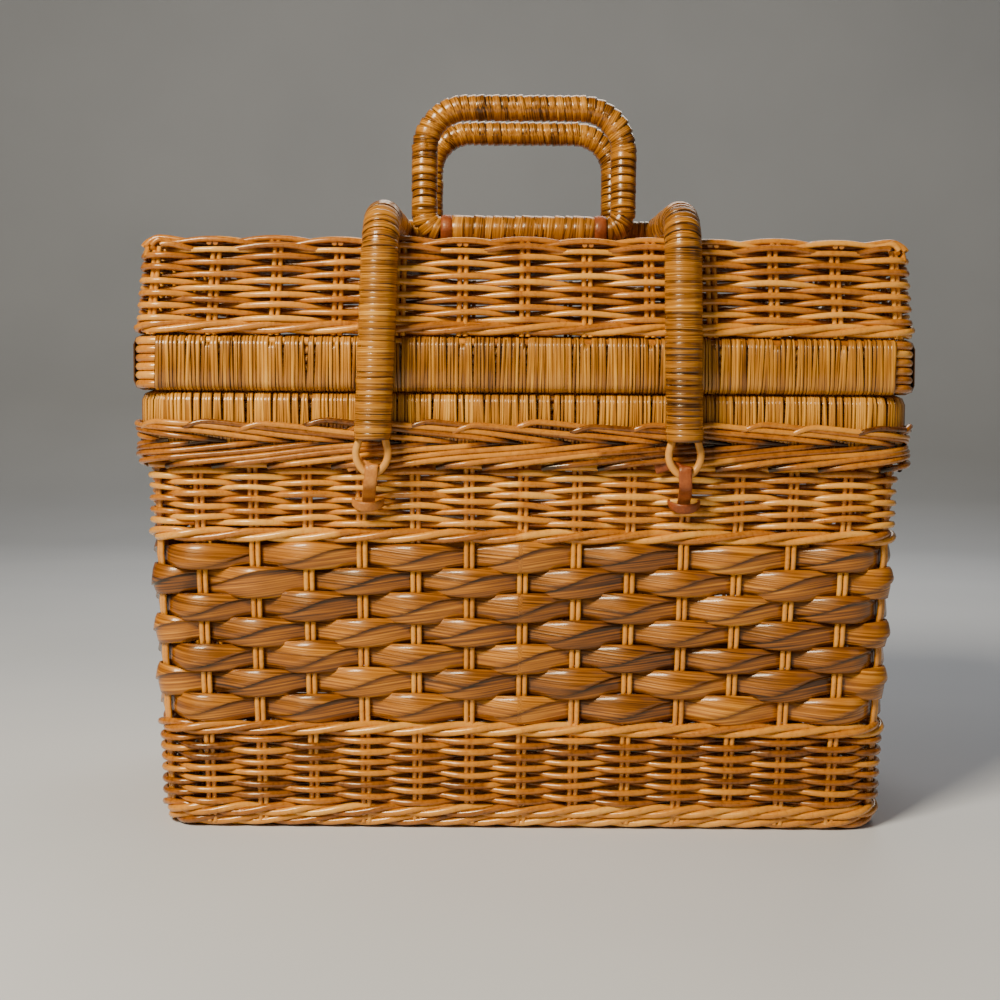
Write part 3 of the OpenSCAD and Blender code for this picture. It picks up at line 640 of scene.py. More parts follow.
def make_node(tree, kind, inputs, output=0, **settings):
    """A node with its settings and inputs, as one of its outputs."""
    node = tree.nodes.new(kind)
    for key, value in settings.items():
        setattr(node, key, value)
    for key, value in inputs.items():
        plug(tree, node.inputs[key], value)
    return Sock(tree, node.outputs[output])


def ramp(factor, stops):
    """A colour ramp."""
    node = factor.tree.nodes.new("ShaderNodeValToRGB")
    plug(factor.tree, node.inputs[0], factor)
    band = node.color_ramp
    while len(band.elements) < len(stops):
        band.elements.new(0.5)
    for element, (place, colour) in zip(band.elements, stops):
        element.position = place
        element.color = (*colour, 1.0)
    return Sock(factor.tree, node.outputs[0])


def fresh_material(name, roughness, coat):
    """The node tree and the principled shader of a new varnished material."""
    material = bpy.data.materials.new(name)
    material.use_nodes = True
    tree = material.node_tree
    shader = tree.nodes["Principled BSDF"]
    shader.inputs["Coat Weight"].default_value = coat
    shader.inputs["Coat Roughness"].default_value = 0.16
    shader.inputs["Roughness"].default_value = roughness
    shader.inputs["Coat Tint"].default_value = (1.0, 0.9, 0.7, 1.0)
    shader.inputs["Specular Tint"].default_value = (1.0, 0.85, 0.6, 1.0)
    return tree, shader


def point_value(tree, name):
    """A value kept on each point of the mesh."""
    return make_node(tree, "ShaderNodeAttribute", {}, "Fac", attribute_name=name)


def noise(tree, place, scale, detail):
    """Noise in space."""
    return make_node(tree, "ShaderNodeTexNoise", {"Vector": place, "Scale": scale, "Detail": detail})


def grain_noise(tree, place, along, across, detail):
    """Noise drawn out along the grain."""
    drawn = make_node(tree, "ShaderNodeMapping", {"Vector": place, "Scale": (along, across, 1.0)})
    return noise(tree, drawn, 1.0, detail)


def dress(tree, shader, shade, stops, rough, height, strength, distance):
    """Connects colour, roughness and relief to a shader."""
    plug(tree, shader.inputs["Base Color"], ramp(shade.clamped(), stops))
    plug(tree, shader.inputs["Roughness"], rough.clamped())
    relief = make_node(tree, "ShaderNodeBump", {"Height": height, "Strength": strength, "Distance": distance})
    plug(tree, shader.inputs["Normal"], relief)


def cane_material(name, stops, roughness, coat, grain):
    """Varnished reed or cane: each length has its own tone, with streaks, specks and a fine grain."""
    tree, shader = fresh_material(name, roughness, coat)
    tone = point_value(tree, "tone")
    along = point_value(tree, "along")
    deep = point_value(tree, "deep")
    place = make_node(tree, "ShaderNodeTexCoord", {}, "Object")
    run = along * 18.0 + tone * 40.0
    drift = make_node(tree, "ShaderNodeTexNoise", {"W": run, "Scale": 1.0, "Detail": 3.0},
                      noise_dimensions="1D")
    fine = noise(tree, place, grain, 4.0)
    broad = noise(tree, place, 22.0, 2.0)
    # deep darkens the reed as painted shade where it lies inside, tucked under or behind other rods.
    shade = tone * 0.45 + drift * 0.35 + fine * 0.3 + broad * 0.25 - deep * 0.75 - 0.175
    dress(tree, shader, shade, stops, fine * 0.3 + (roughness - 0.15), fine, 0.25, 0.0006)


def strip_material():
    """Flat bark strip: long grain lines along the strip, with painted shade in its fold and where it passes
    inside.
    """
    tree, shader = fresh_material("bark", 0.34, 0.6)
    place = make_node(tree, "ShaderNodeUVMap", {}, uv_map="grain")
    lines = grain_noise(tree, place, 14.0, 1100.0, 4.0)
    cloud = grain_noise(tree, place, 30.0, 120.0, 2.0)
    tone = point_value(tree, "tone")
    deep = point_value(tree, "deep")
    # deep darkens the strip as painted shade under its fold and towards its ends, where it passes inside.
    shade = lines * 1.45 + cloud * 0.5 + tone * 0.3 - deep * 0.55 - 0.69
    stops = [(0.0, (0.02, 0.005, 0.001)), (0.14, (0.09, 0.026, 0.001)), (0.4, (0.25, 0.082, 0.005)),
             (0.62, (0.45, 0.17, 0.012)), (0.9, (0.72, 0.34, 0.04))]
    dress(tree, shader, shade, stops, lines * 0.35 + 0.2, lines, 0.5, 0.0008)


def wrap_material():
    """Flat cane wrapped in turns: fine grain along each turn and a tone of its own."""
    tree, shader = fresh_material("wrap_cane", 0.32, 0.55)
    place = make_node(tree, "ShaderNodeUVMap", {}, uv_map="grain")
    spot = make_node(tree, "ShaderNodeTexCoord", {}, "Object")
    tone = point_value(tree, "tone")
    shift = make_node(tree, "ShaderNodeCombineXYZ", {"X": tone * 9.0, "Y": tone * 7.0})
    moved = make_node(tree, "ShaderNodeVectorMath", {0: place, 1: shift}, operation="ADD")
    lines = grain_noise(tree, moved, 25.0, 1700.0, 3.0)
    cloud = noise(tree, spot, 30.0, 3.0)
    deep = point_value(tree, "deep")
    # deep darkens the edges of each turn as painted shade between the turns.
    shade = lines * 1.7 + cloud * 0.4 + tone * 0.34 - deep * 0.5 - 0.72
    stops = [(0.0, (0.015, 0.004, 0.001)), (0.14, (0.06, 0.019, 0.001)), (0.38, (0.25, 0.092, 0.006)),
             (0.65, (0.47, 0.20, 0.015)), (0.95, (0.78, 0.41, 0.06))]
    dress(tree, shader, shade, stops, lines * 0.35 + 0.16, lines, 0.5, 0.0006)


def leather_material(name, stops):
    """Worn leather with a fine grain."""
    tree, shader = fresh_material(name, 0.45, 0.12)
    place = make_node(tree, "ShaderNodeTexCoord", {}, "Object")
    cells = make_node(tree, "ShaderNodeTexVoronoi", {"Vector": place, "Scale": 900.0})
    cloud = noise(tree, place, 140.0, 4.0)
    dress(tree, shader, cloud * 0.9 + cells * 0.2 - 0.05, stops, cloud * 0.3 + 0.32, cells, 0.3, 0.0004)


def palette(name):
    """The material of that name, made when it is first asked for."""
    if name not in bpy.data.materials:
        PALETTE[name]()
    return bpy.data.materials[name]


PALETTE = {
    "honey_reed": lambda: cane_material(
        "honey_reed", [(0.0, (0.012, 0.003, 0.001)), (0.12, (0.12, 0.035, 0.002)),
                       (0.36, (0.38, 0.13, 0.009)), (0.6, (0.65, 0.28, 0.028)),
                       (0.95, (0.95, 0.56, 0.12))], 0.30, 0.7, 420.0),
    "wrap_cane": wrap_material,
    "light_cane": lambda: cane_material(
        "light_cane", [(0.05, (0.30, 0.11, 0.015)), (0.5, (0.60, 0.27, 0.05)), (0.95, (0.80, 0.46, 0.12))],
        0.4, 0.3, 380.0),
    "bark": strip_material,
    "red_leather": lambda: leather_material(
        "red_leather", [(0.1, (0.08, 0.015, 0.004)), (0.5, (0.23, 0.05, 0.01)), (0.95, (0.40, 0.11, 0.028))]),
    "tan_leather": lambda: leather_material(
        "tan_leather", [(0.1, (0.22, 0.065, 0.012)), (0.5, (0.42, 0.15, 0.025)), (0.95, (0.60, 0.27, 0.06))]),
}


def ride(made, body, slot, *nodes):
    """Puts a piece on its body, in the place of the nodes that it stands for."""
    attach(made, body)
    if nodes:
        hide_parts(*nodes)
    return made


def basket_wall(sizes):
    """The body's wall, from the floor to the rim."""
    return Wall(sizes.half_w, sizes.half_d, sizes.corner_r, 0.0, sizes.rim_z, sizes.lean)


def flattened(wave, share):
    """A wave between -1 and 1 with flatter crests."""
    return np.tanh(share * wave) / np.tanh(share)


def shadow(over):
    """Painted shade for a reed where it passes inside: the deeper it lies, the darker it is painted."""
    return np.clip(-0.2 - over, 0, 1) * 0.4


def weave(strands, wall, rows, stakes, sizes, parity=0, sag=0.0, light=0.0):
    """Rows of plain weave: a row passes outside every second stake."""
    count = stakes * 8
    along = np.arange(count) * wall.length / count
    beat = pi * along * stakes / wall.length
    random = strands.random
    for index, z in enumerate(rows):
        over = flattened(np.cos(beat + pi * (index + parity)), 0.6)
        drift = sum(random.normal() * np.sin(2 * pi * k * along / wall.length + random.random() * 7)
                    for k in (3, 7, 11, 19, 27))
        height = z + 0.0002 * drift - sag * over
        # Painted shade darkens a reed where it passes inside, and light paints the whole row lighter, or
        # darker below zero, as painted light and shade.
        strands.add(wall.place(along, height, over * sizes.swing - sizes.depth), closed=True,
                    thick=(1 + 0.05 * random.normal()) * (0.97 + 0.11 * over), deep=shadow(over) - light)


def rope(strands, wall, z, out, twist, stakes, lap, phase=0.0, rods=3, thick=1.0):
    """Rods that twist round each other along the wall, once in so many stakes."""
    turns = max(1, round(stakes / lap))
    count = turns * 18
    along = np.arange(count) * wall.length / count
    for rod in range(rods):
        beat = 2 * pi * (along * turns / wall.length + rod / rods) + phase
        points = wall.place(along, z + twist * np.sin(beat), out + twist * np.cos(beat))
        strands.add(points, closed=True, thick=thick)


class BASKET_OT_walls(bpy.types.Operator):
    """Woven walls: round reed, wales, stakes and foot"""

    bl_idname = "basket.walls"
    bl_label = "Woven walls"

    def execute(self, context):
        sizes = context.scene.basket_wall
        bands = context.scene.basket_bands
        wall = basket_wall(sizes)
        reed = palette("honey_reed")
        strip_top = bands.strip_z + bands.strip_rows * bands.strip_row
        upper_z = strip_top + bands.wale_h
        under_rim = sizes.rim_z - 0.001
        weavers = Strands(1)
        low_rows = np.arange(bands.foot_h + sizes.row / 2, bands.lower_z, sizes.row)
        high_rows = np.arange(upper_z + sizes.row / 2, under_rim, sizes.row)
        # Painted light and shade: the upper weave is painted lighter and the lower weave darker, for how the
        # light falls on the wall.
        weave(weavers, wall, low_rows, sizes.stakes, sizes, sag=0.0003, light=-0.16)
        weave(weavers, wall, high_rows, sizes.stakes, sizes, parity=1, sag=-0.0005, light=0.16)
        ride(weavers.sweep("wall_weave", sizes.reed_r, reed), "basket", "reed", "lower_weave", "upper_weave")
        wales = Strands(2)
        for foot in (bands.lower_z, strip_top):
            middle = foot + bands.wale_h / 2
            rope(wales, wall, middle, out=-0.0022, twist=0.0021, stakes=sizes.stakes, lap=WALE_LAP)
        ride(wales.sweep("wall_wales", WALE_R, reed, sides=8), "basket", "reed", "lower_wale", "upper_wale")
        foot = Strands(3)
        for z, out, twist, phase, rods, thick in FOOT_ROPES:
            rope(foot, wall, z, out, twist, sizes.stakes, FOOT_LAP, phase, rods, thick)
        ride(foot.sweep("foot_rods", FOOT_R, reed), "basket", "reed", "foot_wale")
        self.stakes(sizes, bands, wall, strip_top)
        return {"FINISHED"}

    def stakes(self, sizes, bands, wall, strip_top):
        """Pairs of rods from the foot to the rim. They sway a little where the strips pass."""
        rods = Strands(4)
        heights = np.linspace(0.003, sizes.rim_z, 40)
        beat = np.pi * (heights - bands.strip_z - bands.strip_row / 2) / bands.strip_row
        in_strips = (heights > bands.strip_z) & (heights < strip_top)
        for index in range(sizes.stakes):
            sway = np.where(in_strips, -0.0006 * np.cos(beat + pi * index), 0)
            for side in (-1, 1):
                place = index * wall.length / sizes.stakes + side * WALL_PAIR
                points = wall.place(place, heights, -sizes.depth + sway)
                rods.add(points, tone=0.55 + 0.3 * rods.random.random())
        ride(rods.sweep("wall_stakes", sizes.stake_r, palette("honey_reed")), "basket", "reed")


class BASKET_OT_strips(bpy.types.Operator):
    """Flat bark strips woven over and under the stakes"""

    bl_idname = "basket.strips"
    bl_label = "Bark strips"

    SWING = 0.0027
    RIDGE = 0.0024
    THICK = 0.0009

    def execute(self, context):
        sizes = context.scene.basket_wall
        bands = context.scene.basket_bands
        wall = basket_wall(sizes)
        random = np.random.default_rng(SEED + 20)
        leaves = sizes.stakes // 2
        count = sizes.stakes * 12
        along = np.arange(count) * wall.length / count
        step = along * sizes.stakes / wall.length
        shell = Shell()
        tones = []
        depths = []
        grains = []
        for row in range(bands.strip_rows):
            leaf = ((step + row + 1) % 2) - 1
            number = ((step + row + 1) / 2).astype(int) % leaves
            swell = np.cos(pi / 2 * leaf)
            over = np.cos(pi * leaf)
            grow = 1 + 0.07 * random.normal(size=leaves)[number]
            tall = (bands.strip_narrow + (bands.strip_wide - bands.strip_narrow) * swell ** 0.9) * grow
            turn = 0.2 * random.normal(size=leaves)[number]
            shades = random.random(leaves)[number]
            middle = bands.strip_z + (row + 0.5) * bands.strip_row
            wobble = 0.0005 * np.sin(2 * pi * along / wall.length * 9 + random.random() * 7)
            outs = over * self.SWING - sizes.depth + 0.0004
            rings = []
            for i in range(count):
                ring, across = self.section(wall, along[i], middle + wobble[i], outs[i], tall[i],
                                            leaf[i] - 0.1 + turn[i], swell[i])
                rings.append(ring)
                tones.append(np.full(14, shades[i]))
                # Painted shade: darker just under the fold and towards the leaf's ends, where it passes
                # inside.
                crease = np.concatenate([[0, 0, 0, 0.06, 0.7], np.zeros(9)]) * swell[i] ** 0.5
                depths.append(crease + 0.3 * np.clip(abs(leaf[i]) * 1.5 - 0.6, 0, 1) ** 1.5)
                slant = 0.0035 * leaf[i] * np.repeat([-1.0, 0.7, 0.0], [5, 5, 4])
                up = across * tall[i] / 2 + slant + row * 0.05
                grains.append(np.stack([np.full(14, along[i] + row), up], axis=1))
            shell.add(rings, True)
        made = shell.build("bark_strips", palette("bark"))
        store(made.data, "tone", np.concatenate(tones))
        store(made.data, "deep", np.concatenate(depths))
        grain_map(made, np.concatenate(grains))
        ride(made, "basket", "bark_strip", "strip_band")
        return {"FINISHED"}

    def section(self, wall, along, z, out, tall, lean, swell):
        """A ring of ten points on the front, with a fold that wanders up across it, and four behind."""
        fold = np.clip(0.95 * np.tanh(1.5 * lean), -0.93, 0.93)
        lower = np.linspace(-1, fold, 5)
        upper = np.linspace(fold, 1, 5)
        ridge = self.RIDGE * swell ** 0.7
        low_out = ridge * 0.45 * np.sin(pi / 2 * (lower + 1) / (fold + 1))
        high_out = ridge * ((1 - upper) / (1 - fold)) ** 0.6
        across = np.concatenate([lower, upper, np.linspace(1, -1, 4)])
        outward = np.concatenate([out + low_out, out + high_out, np.full(4, out - self.THICK)])
        return wall.place(along, z + across * tall / 2, outward), across


class BASKET_OT_border(bpy.types.Operator):
    """Rolled border: rods that fall from the top edge and rods that rise from the foot meet like a braid"""

    bl_idname = "basket.border"
    bl_label = "Rolled border"

    def execute(self, context):
        rims = context.scene.basket_rims
        bands = context.scene.basket_bands
        stakes = context.scene.basket_wall.stakes
        wall = Wall(rims.body_half_w, rims.body_half_d, rims.body_corner)
        rods = Strands(5)
        pitch = wall.length / stakes
        low = bands.border_low
        middle = (low + bands.border_high) / 2
        t = np.linspace(0, 1, 40)
        rise = np.sin(np.clip(t / 0.16, 0, 1) * pi / 2)
        fall = np.clip((t - 0.14) / 0.86, 0, 1)
        tuck = np.clip((t - 0.86) / 0.14, 0, 1)
        over_top = np.clip(t / 0.07, 0, 1)
        from_foot = np.clip(t / 0.12, 0, 1)
        # Painted shade: the rods are painted darker towards their tucked ends and where they start behind
        # other rods, and a little darker all along.
        dim = 0.16 + 0.7 * tuck
        for index in range(stakes):
            shift = 0.12 * rods.random.normal()
            top = bands.border_high - 0.0019 + 0.0007 * np.clip(rods.random.normal(), -2, 1)
            sway = 0.0005 * np.sin(7 * t + 6 * rods.random.random()) * np.sin(pi * t)
            along = (index - 0.3 + shift) * pitch + pitch * 4.1 * t
            z = top - 0.0062 * (1 - rise) - (top - middle - 0.0008) * fall ** 1.1 + sway
            out = -0.0012 + 0.0044 * over_top - 0.0022 * t - 0.0024 * tuck
            rods.add(wall.place(along, z, out), deep=dim + 0.5 * (1 - over_top))
            along = (index + 0.4 + shift) * pitch + pitch * 4.2 * t
            z = low + 0.0013 + (middle - low - 0.0002) * t ** 0.85 - sway
            out = -0.0020 + 0.0044 * from_foot - 0.0010 * t - 0.0022 * tuck
            rods.add(wall.place(along, z, out), deep=dim + 0.6 * (1 - from_foot))
        made = rods.sweep("border_rods", BORDER_R, palette("honey_reed"), sides=8)
        ride(made, "basket", "reed", "rolled_border")
        return {"FINISHED"}


class BASKET_OT_rims(bpy.types.Operator):
    """Cane wrapped rims of the body and the lid, and the reeds inside them"""

    bl_idname = "basket.rims"
    bl_label = "Wrapped rims"

    REEDS = 6

    def execute(self, context):
        rims = context.scene.basket_rims
        self.body(rims)
        self.lid(rims, context.scene.basket_lid.stakes)
        return {"FINISHED"}

    def body(self, rims):
        """Turns all round the body rim, a core of thick reeds and a seam reed at its top."""
        cane = palette("wrap_cane")
        hoop = Wall(rims.body_half_w, rims.body_half_d, rims.body_corner)
        turns = Turns(6)
        count = round(hoop.length / rims.turn)
        middle = -rims.thick / 2
        for index in range(count):
            self.add_turn(turns, hoop, index * hoop.length / count, rims.body_z, middle, 0.0, BODY_RIM_LIGHT)
        made = turns.wrap("body_rim_wrap", rim_turn(rims.turn, rims.thick, rims.body_h, cane), cane)
        ride(made, "basket", "cane_wrap", "body_rim")
        reeds = Strands(22)
        along = hoop.samples(12, 4)
        reeds.add(hoop.place(along, rims.body_z + rims.body_h - 0.0006, middle), closed=True)
        for level in range(self.REEDS):
            z = rims.body_z + rims.body_h * (level + 0.5) / self.REEDS
            reeds.add(hoop.place(along, z, middle), closed=True, thick=2.4)
        ride(reeds.sweep("body_rim_reeds", 0.001, palette("honey_reed"), sides=8), "basket", "reed")

    def lid(self, rims, stakes):
        """Turns on the lid rim's straight sides, shorter where a stake comes down, and its stacked reeds."""
        cane = palette("wrap_cane")
        edge = Wall(rims.lid_half_w, rims.lid_half_d, rims.lid_corner)
        turns = Turns(7)
        count = round(edge.length / rims.turn)
        pitch = edge.length / stakes
        for index in range(count):
            along = index * edge.length / count
            if self.on_corner(edge, along):
                continue
            off = abs((along + pitch / 2) % pitch - pitch / 2)
            dip = 0.0024 if off < rims.turn * 0.9 else 0.0
            self.add_turn(turns, edge, along, rims.lid_z, -rims.thick / 2, dip / rims.lid_h, LID_RIM_LIGHT)
        made = turns.wrap("lid_rim_wrap", rim_turn(rims.turn, rims.thick, rims.lid_h, cane), cane)
        ride(made, "lid", "cane_wrap", "lid_wrap_front", "lid_wrap_rear", "lid_wrap_left", "lid_wrap_right")
        reeds = Strands(8)
        step = (rims.lid_h - 0.002) / self.REEDS
        along = edge.samples(12, 4)
        for out in (-0.0037, -0.0081):
            for level in range(self.REEDS):
                reeds.add(edge.place(along, rims.lid_z + 0.001 + step * (level + 0.5), out), closed=True)
        made = reeds.sweep("lid_rim_reeds", step * 0.52, palette("honey_reed"), sides=8)
        ride(made, "lid", "reed", "lid_rim_core")

    def on_corner(self, edge, along):
        """Whether that place is on one of the bare corners."""
        spot = along % edge.length
        marks = edge.marks
        return any(marks[k] + 0.0005 < spot < marks[k + 1] - 0.0005 for k in (1, 3, 5, 7))

    def add_turn(self, turns, edge, along, foot, out, dip, light):
        """One turn round a rim, with a little unevenness."""
        turn = edge.share(along)[2] + pi / 2
        lean = 0.02 * turns.random.normal()
        wide = 1 + 0.14 * turns.random.normal()
        deep = 1 + 0.02 * turns.random.normal()
        turns.add(edge.place(along, foot, out), (0.0, lean, turn), (wide, deep, 1.0 - dip), light)


class BASKET_OT_lid(bpy.types.Operator):
    """Woven lid: wall, wale, stakes and top"""

    bl_idname = "basket.lid"
    bl_label = "Woven lid"

    SWING = 0.0015

    def execute(self, context):
        sizes = context.scene.basket_wall
        lid = context.scene.basket_lid
        reed = palette("honey_reed")
        wall = Wall(lid.half_w, lid.half_d, lid.corner, lid.top_z, lid.weave_z, lid.lean)
        weavers = Strands(9)
        rows = np.linspace(lid.weave_z + 0.0008, lid.top_z - 0.0018, lid.rows)
        # Painted light: the lid's weave is painted a little lighter.
        weave(weavers, wall, rows, lid.stakes, sizes, sag=-0.0005, light=0.04)
        ride(weavers.sweep("lid_weave_rods", sizes.reed_r, reed), "lid", "reed", "lid_weave")
        wale = Strands(10)
        middle = lid.wale_z + 0.0040
        rope(wale, wall, middle, out=-0.0026, twist=0.0019, stakes=lid.stakes, lap=WALE_LAP)
        ride(wale.sweep("lid_wale_rods", LID_WALE_R, reed, sides=8), "lid", "reed", "lid_wale")
        pitch = wall.length / lid.stakes
        self.top(sizes, lid, pitch)
        self.stakes(sizes, lid, wall, pitch)
        return {"FINISHED"}

    def height(self, sizes, lid, x, y):
        """Height of a reed's middle on the domed top, and how far the top reaches to each side."""
        half_w = lid.half_w - lid.lean
        half_d = lid.half_d - lid.lean
        over = np.clip(np.abs(y) - (half_d - lid.corner), 0, lid.corner)
        reach = half_w - lid.corner + np.sqrt(np.maximum(lid.corner ** 2 - over ** 2, 0))
        inward = np.clip(half_d - np.abs(y), 0, lid.edge)
        ends = np.clip(reach - np.abs(x), 0, lid.end)
        fall = np.maximum(lid.edge - np.sqrt(lid.edge ** 2 - (lid.edge - inward) ** 2),
                          lid.end - np.sqrt(lid.end ** 2 - (lid.end - ends) ** 2))
        dome = lid.dome * (1 - (x / half_w) ** 2) * (1 - (y / half_d) ** 2)
        crown = lid.top_z + 0.0063
        return crown + dome - fall - sizes.reed_r, reach

    def top(self, sizes, lid, pitch):
        """Rows along the width, from front to back, that close up and bend down at their ends."""
        half_d = lid.half_d - lid.lean
        flat = half_d - lid.corner - 0.0008
        row = 2 * flat / lid.top_rows
        level = half_d - lid.edge - flat
        spare = int((level + pi / 2 * lid.edge) / row)
        rods = Strands(12)
        for number in range(-spare, lid.top_rows + spare + 1):
            beyond = max(0, -number, number - lid.top_rows) * row
            side = -1 if number < lid.top_rows / 2 else 1
            y = -flat + number * row
            if beyond > 0:
                y = side * (flat + beyond)
            on_edge = beyond > level
            if on_edge:
                y = side * (half_d - lid.edge + lid.edge * sin(1.1 * (beyond - level) / lid.edge))
            reach = self.height(sizes, lid, 0.0, y)[1]
            bend = reach - lid.end + lid.end * np.sin(np.radians([12, 24, 36, 48, 60]))
            x = np.concatenate([-bend[::-1], np.linspace(lid.end - reach, reach - lid.end, 96), bend])
            beat = np.cos(pi * x / pitch + pi * (number + 1))
            closed = np.clip((np.abs(x) - reach + 0.014) / 0.010, 0, 1)
            over = flattened(beat, 0.8) * (1 - closed) + closed
            dip = self.SWING * (over - 1)
            outward = side * 0.6 * dip if on_edge else 0 * x
            z = self.height(sizes, lid, x, y)[0] + dip
            # Painted shade where a reed passes under the stakes.
            rods.add(np.stack([x, y + outward, z], axis=1), thick=1 + 0.05 * rods.random.normal(),
                     deep=shadow(over))
        ride(rods.sweep("lid_top_rods", sizes.reed_r, palette("honey_reed")), "lid", "reed", "lid_top")

    def stakes(self, sizes, lid, wall, pitch):
        """Pairs of rods up the lid's wall and pairs along the depth of its top."""
        rods = Strands(11)
        heights = np.linspace(lid.wale_z, lid.top_z, 14)
        for index in range(lid.stakes):
            for side in (-1, 1):
                points = wall.place(index * pitch + side * LID_PAIR, heights, -sizes.depth)
                rods.add(points, tone=0.6 + 0.3 * rods.random.random())
        half_d = lid.half_d - lid.lean
        y = np.linspace(-half_d + 0.002, half_d - 0.002, 60)
        count = int((lid.half_w - lid.lean) / pitch)
        for index in range(-count, count + 1):
            for side in (-1, 1):
                x = index * pitch + side * LID_PAIR
                z = self.height(sizes, lid, x, y)[0] - self.SWING
                rods.add(np.stack([np.full(60, x), y, z], axis=1), tone=0.5)
        ride(rods.sweep("lid_stakes", sizes.stake_r, palette("honey_reed")), "lid", "reed")


class BASKET_OT_base(bpy.types.Operator):
    """Woven base inside the foot"""

    bl_idname = "basket.base"
    bl_label = "Woven base"

    def execute(self, context):
        low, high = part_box("base")
        rods = Strands(13)
        pitch = 0.029
        corner = 0.013
        middle = 0.0025
        count = int((high[1] - low[1]) / 0.003)
        for row in range(count):
            y = low[1] + 0.0015 + (high[1] - low[1] - 0.003) * row / (count - 1)
            over = max(0.0, abs(y) - (high[1] - corner))
            reach = high[0] - corner + sqrt(max(0.0, corner ** 2 - over ** 2))
            x = np.linspace(-reach, reach, 64)
            z = middle + 0.00105 * np.cos(pi * x / pitch + pi * row)
            rods.add(np.stack([x, np.full(64, y), z], axis=1))
        for index in range(-6, 7):
            for side in (-1, 1):
                x = index * pitch + side * LID_PAIR
                rods.add([(x, y, middle) for y in np.linspace(low[1] + 0.001, high[1] - 0.001, 30)])
        ride(rods.sweep("base_rods", BASE_R, palette("honey_reed"), sides=6), "basket", "reed", "base")
        return {"FINISHED"}


class BASKET_OT_grips(bpy.types.Operator):
    """Two wrapped grips with their sleeves"""

    bl_idname = "basket.grips"
    bl_label = "Grips"

    def execute(self, context):
        sizes = context.scene.basket_handles
        cane = palette("wrap_cane")
        half = sizes.grip_half
        foot = half - 0.009
        bends = [0, 0.00899, 0.023, 0.023, 0.00899, 0]
        for name, y, seed in (("front_grip", -sizes.grip_y, 14), ("rear_grip", sizes.grip_y, 16)):
            bar = sizes.grip_z
            top = sizes.grip_h + bar
            corners = [(foot, y, bar), (half, y, bar), (half, y, top), (-half, y, top), (-half, y, bar),
                       (-foot, y, bar)]
            points, headings = rounded_path(corners, bends, GRIP_TURN)
            core = Strands(seed + 30)
            core.add([corners[0]] + list(points[1:-1]) + [corners[-1]], tone=0.4)
            made = core.sweep(name + "_core", sizes.grip_r * 0.9, palette("honey_reed"), sides=12)
            ride(made, name, "reed")
            turns = Turns(seed)
            wrap_rod(turns, points, headings, tilt=0.2, light=GRIP_LIGHT)
            made = turns.wrap(name + "_wrap", rod_turn(GRIP_TURN, sizes.grip_r, cane), cane)
            ride(made, name, "cane_wrap", name)
            ends = [(-sizes.sleeve_l / 2, y, bar), (sizes.sleeve_l / 2, y, bar)]
            points, headings = rounded_path(ends, [0, 0], SLEEVE_TURN)
            sleeve = Turns(seed + 1)
            wrap_rod(sleeve, points, headings, light=GRIP_LIGHT)
            made = sleeve.wrap(name + "_sleeve_wrap", rod_turn(SLEEVE_TURN, sizes.sleeve_r, cane), cane)
            ride(made, name, "cane_wrap", name + "_sleeve")
        return {"FINISHED"}


def lean_point(point, x, bar_z, lean):
    """A point of an upright leg at x, leaned sideways about its run on the lid."""
    px, py, pz = point
    up = pz - bar_z
    return (x + px * cos(lean) + up * sin(lean), py, bar_z - px * sin(lean) + up * cos(lean))


class BASKET_OT_bail(bpy.types.Operator):
    """Strap bail: two wrapped legs on a crossbar, with a cane eye at the end of each"""

    bl_idname = "basket.bail"
    bl_label = "Strap bail"

    def execute(self, context):
        sizes = context.scene.basket_handles
        cane = palette("wrap_cane")
        turns = Turns(18)
        eyes = Strands(20)
        core = Strands(21)
        legs = ((sizes.left_x, sizes.left_lean, LEFT_LEG_LIGHT),
                (sizes.right_x, sizes.right_lean, RIGHT_LEG_PAINTED_LIGHT))
        for x, lean, light in legs:
            corners = [(0, sizes.bar_y + 0.002, sizes.bar_z), (0, sizes.leg_y + 0.0005, sizes.bar_z - 0.0032),
                       (0, sizes.leg_y, sizes.leg_end)]
            leaned = [lean_point(c, x, sizes.bar_z, lean) for c in corners]
            points, headings = rounded_path(leaned, [0, 0.019, 0], STRAP_TURN)
            wrap_rod(turns, points, headings, tilt=0.05, wobble=0.025, light=light)
            core.add([leaned[0]] + list(points[1:-1]) + [leaned[-1]], tone=0.3)
            self.eye(eyes, sizes, x, lean)
        made = turns.wrap("strap_wrap", rod_turn(STRAP_TURN, sizes.strap_r, cane, sides=22), cane)
        ride(made, "strap_bail", "cane_wrap", "strap_bail")
        made = core.sweep("strap_core", sizes.strap_r * 0.92, palette("honey_reed"), sides=14)
        ride(made, "strap_bail", "reed")
        bar = Turns(19)
        ends = [(sizes.left_x, sizes.bar_y, sizes.bar_z), (sizes.right_x, sizes.bar_y, sizes.bar_z)]
        points, headings = rounded_path(ends, [0, 0], BAR_TURN)
        wrap_rod(bar, points, headings)
        made = bar.wrap("crossbar_wrap", rod_turn(BAR_TURN, sizes.bar_r, cane), cane)
        ride(made, "strap_bail", "cane_wrap")
        made = eyes.sweep("cane_eyes", EYE_ROD_R, palette("light_cane"), sides=10)
        ride(made, "strap_bail", "pale_cane", "left_eye", "right_eye")
        return {"FINISHED"}

    def eye(self, eyes, sizes, x, lean):
        """A loop of cane whose two ends go up into the leg."""
        half = [(0.0, -1.06), (0.5, -0.86), (0.92, -0.3), (1.04, 0.35), (0.9, 1.0), (0.72, 1.7)]
        outline = [(-u, v) for u, v in reversed(half[1:])] + half
        path = [(u * sizes.eye_r, sizes.leg_y, sizes.eye_z + v * sizes.eye_r) for u, v in outline]
        eyes.add(smooth_path([lean_point(p, x, sizes.bar_z, lean) for p in path]), tone=0.6)


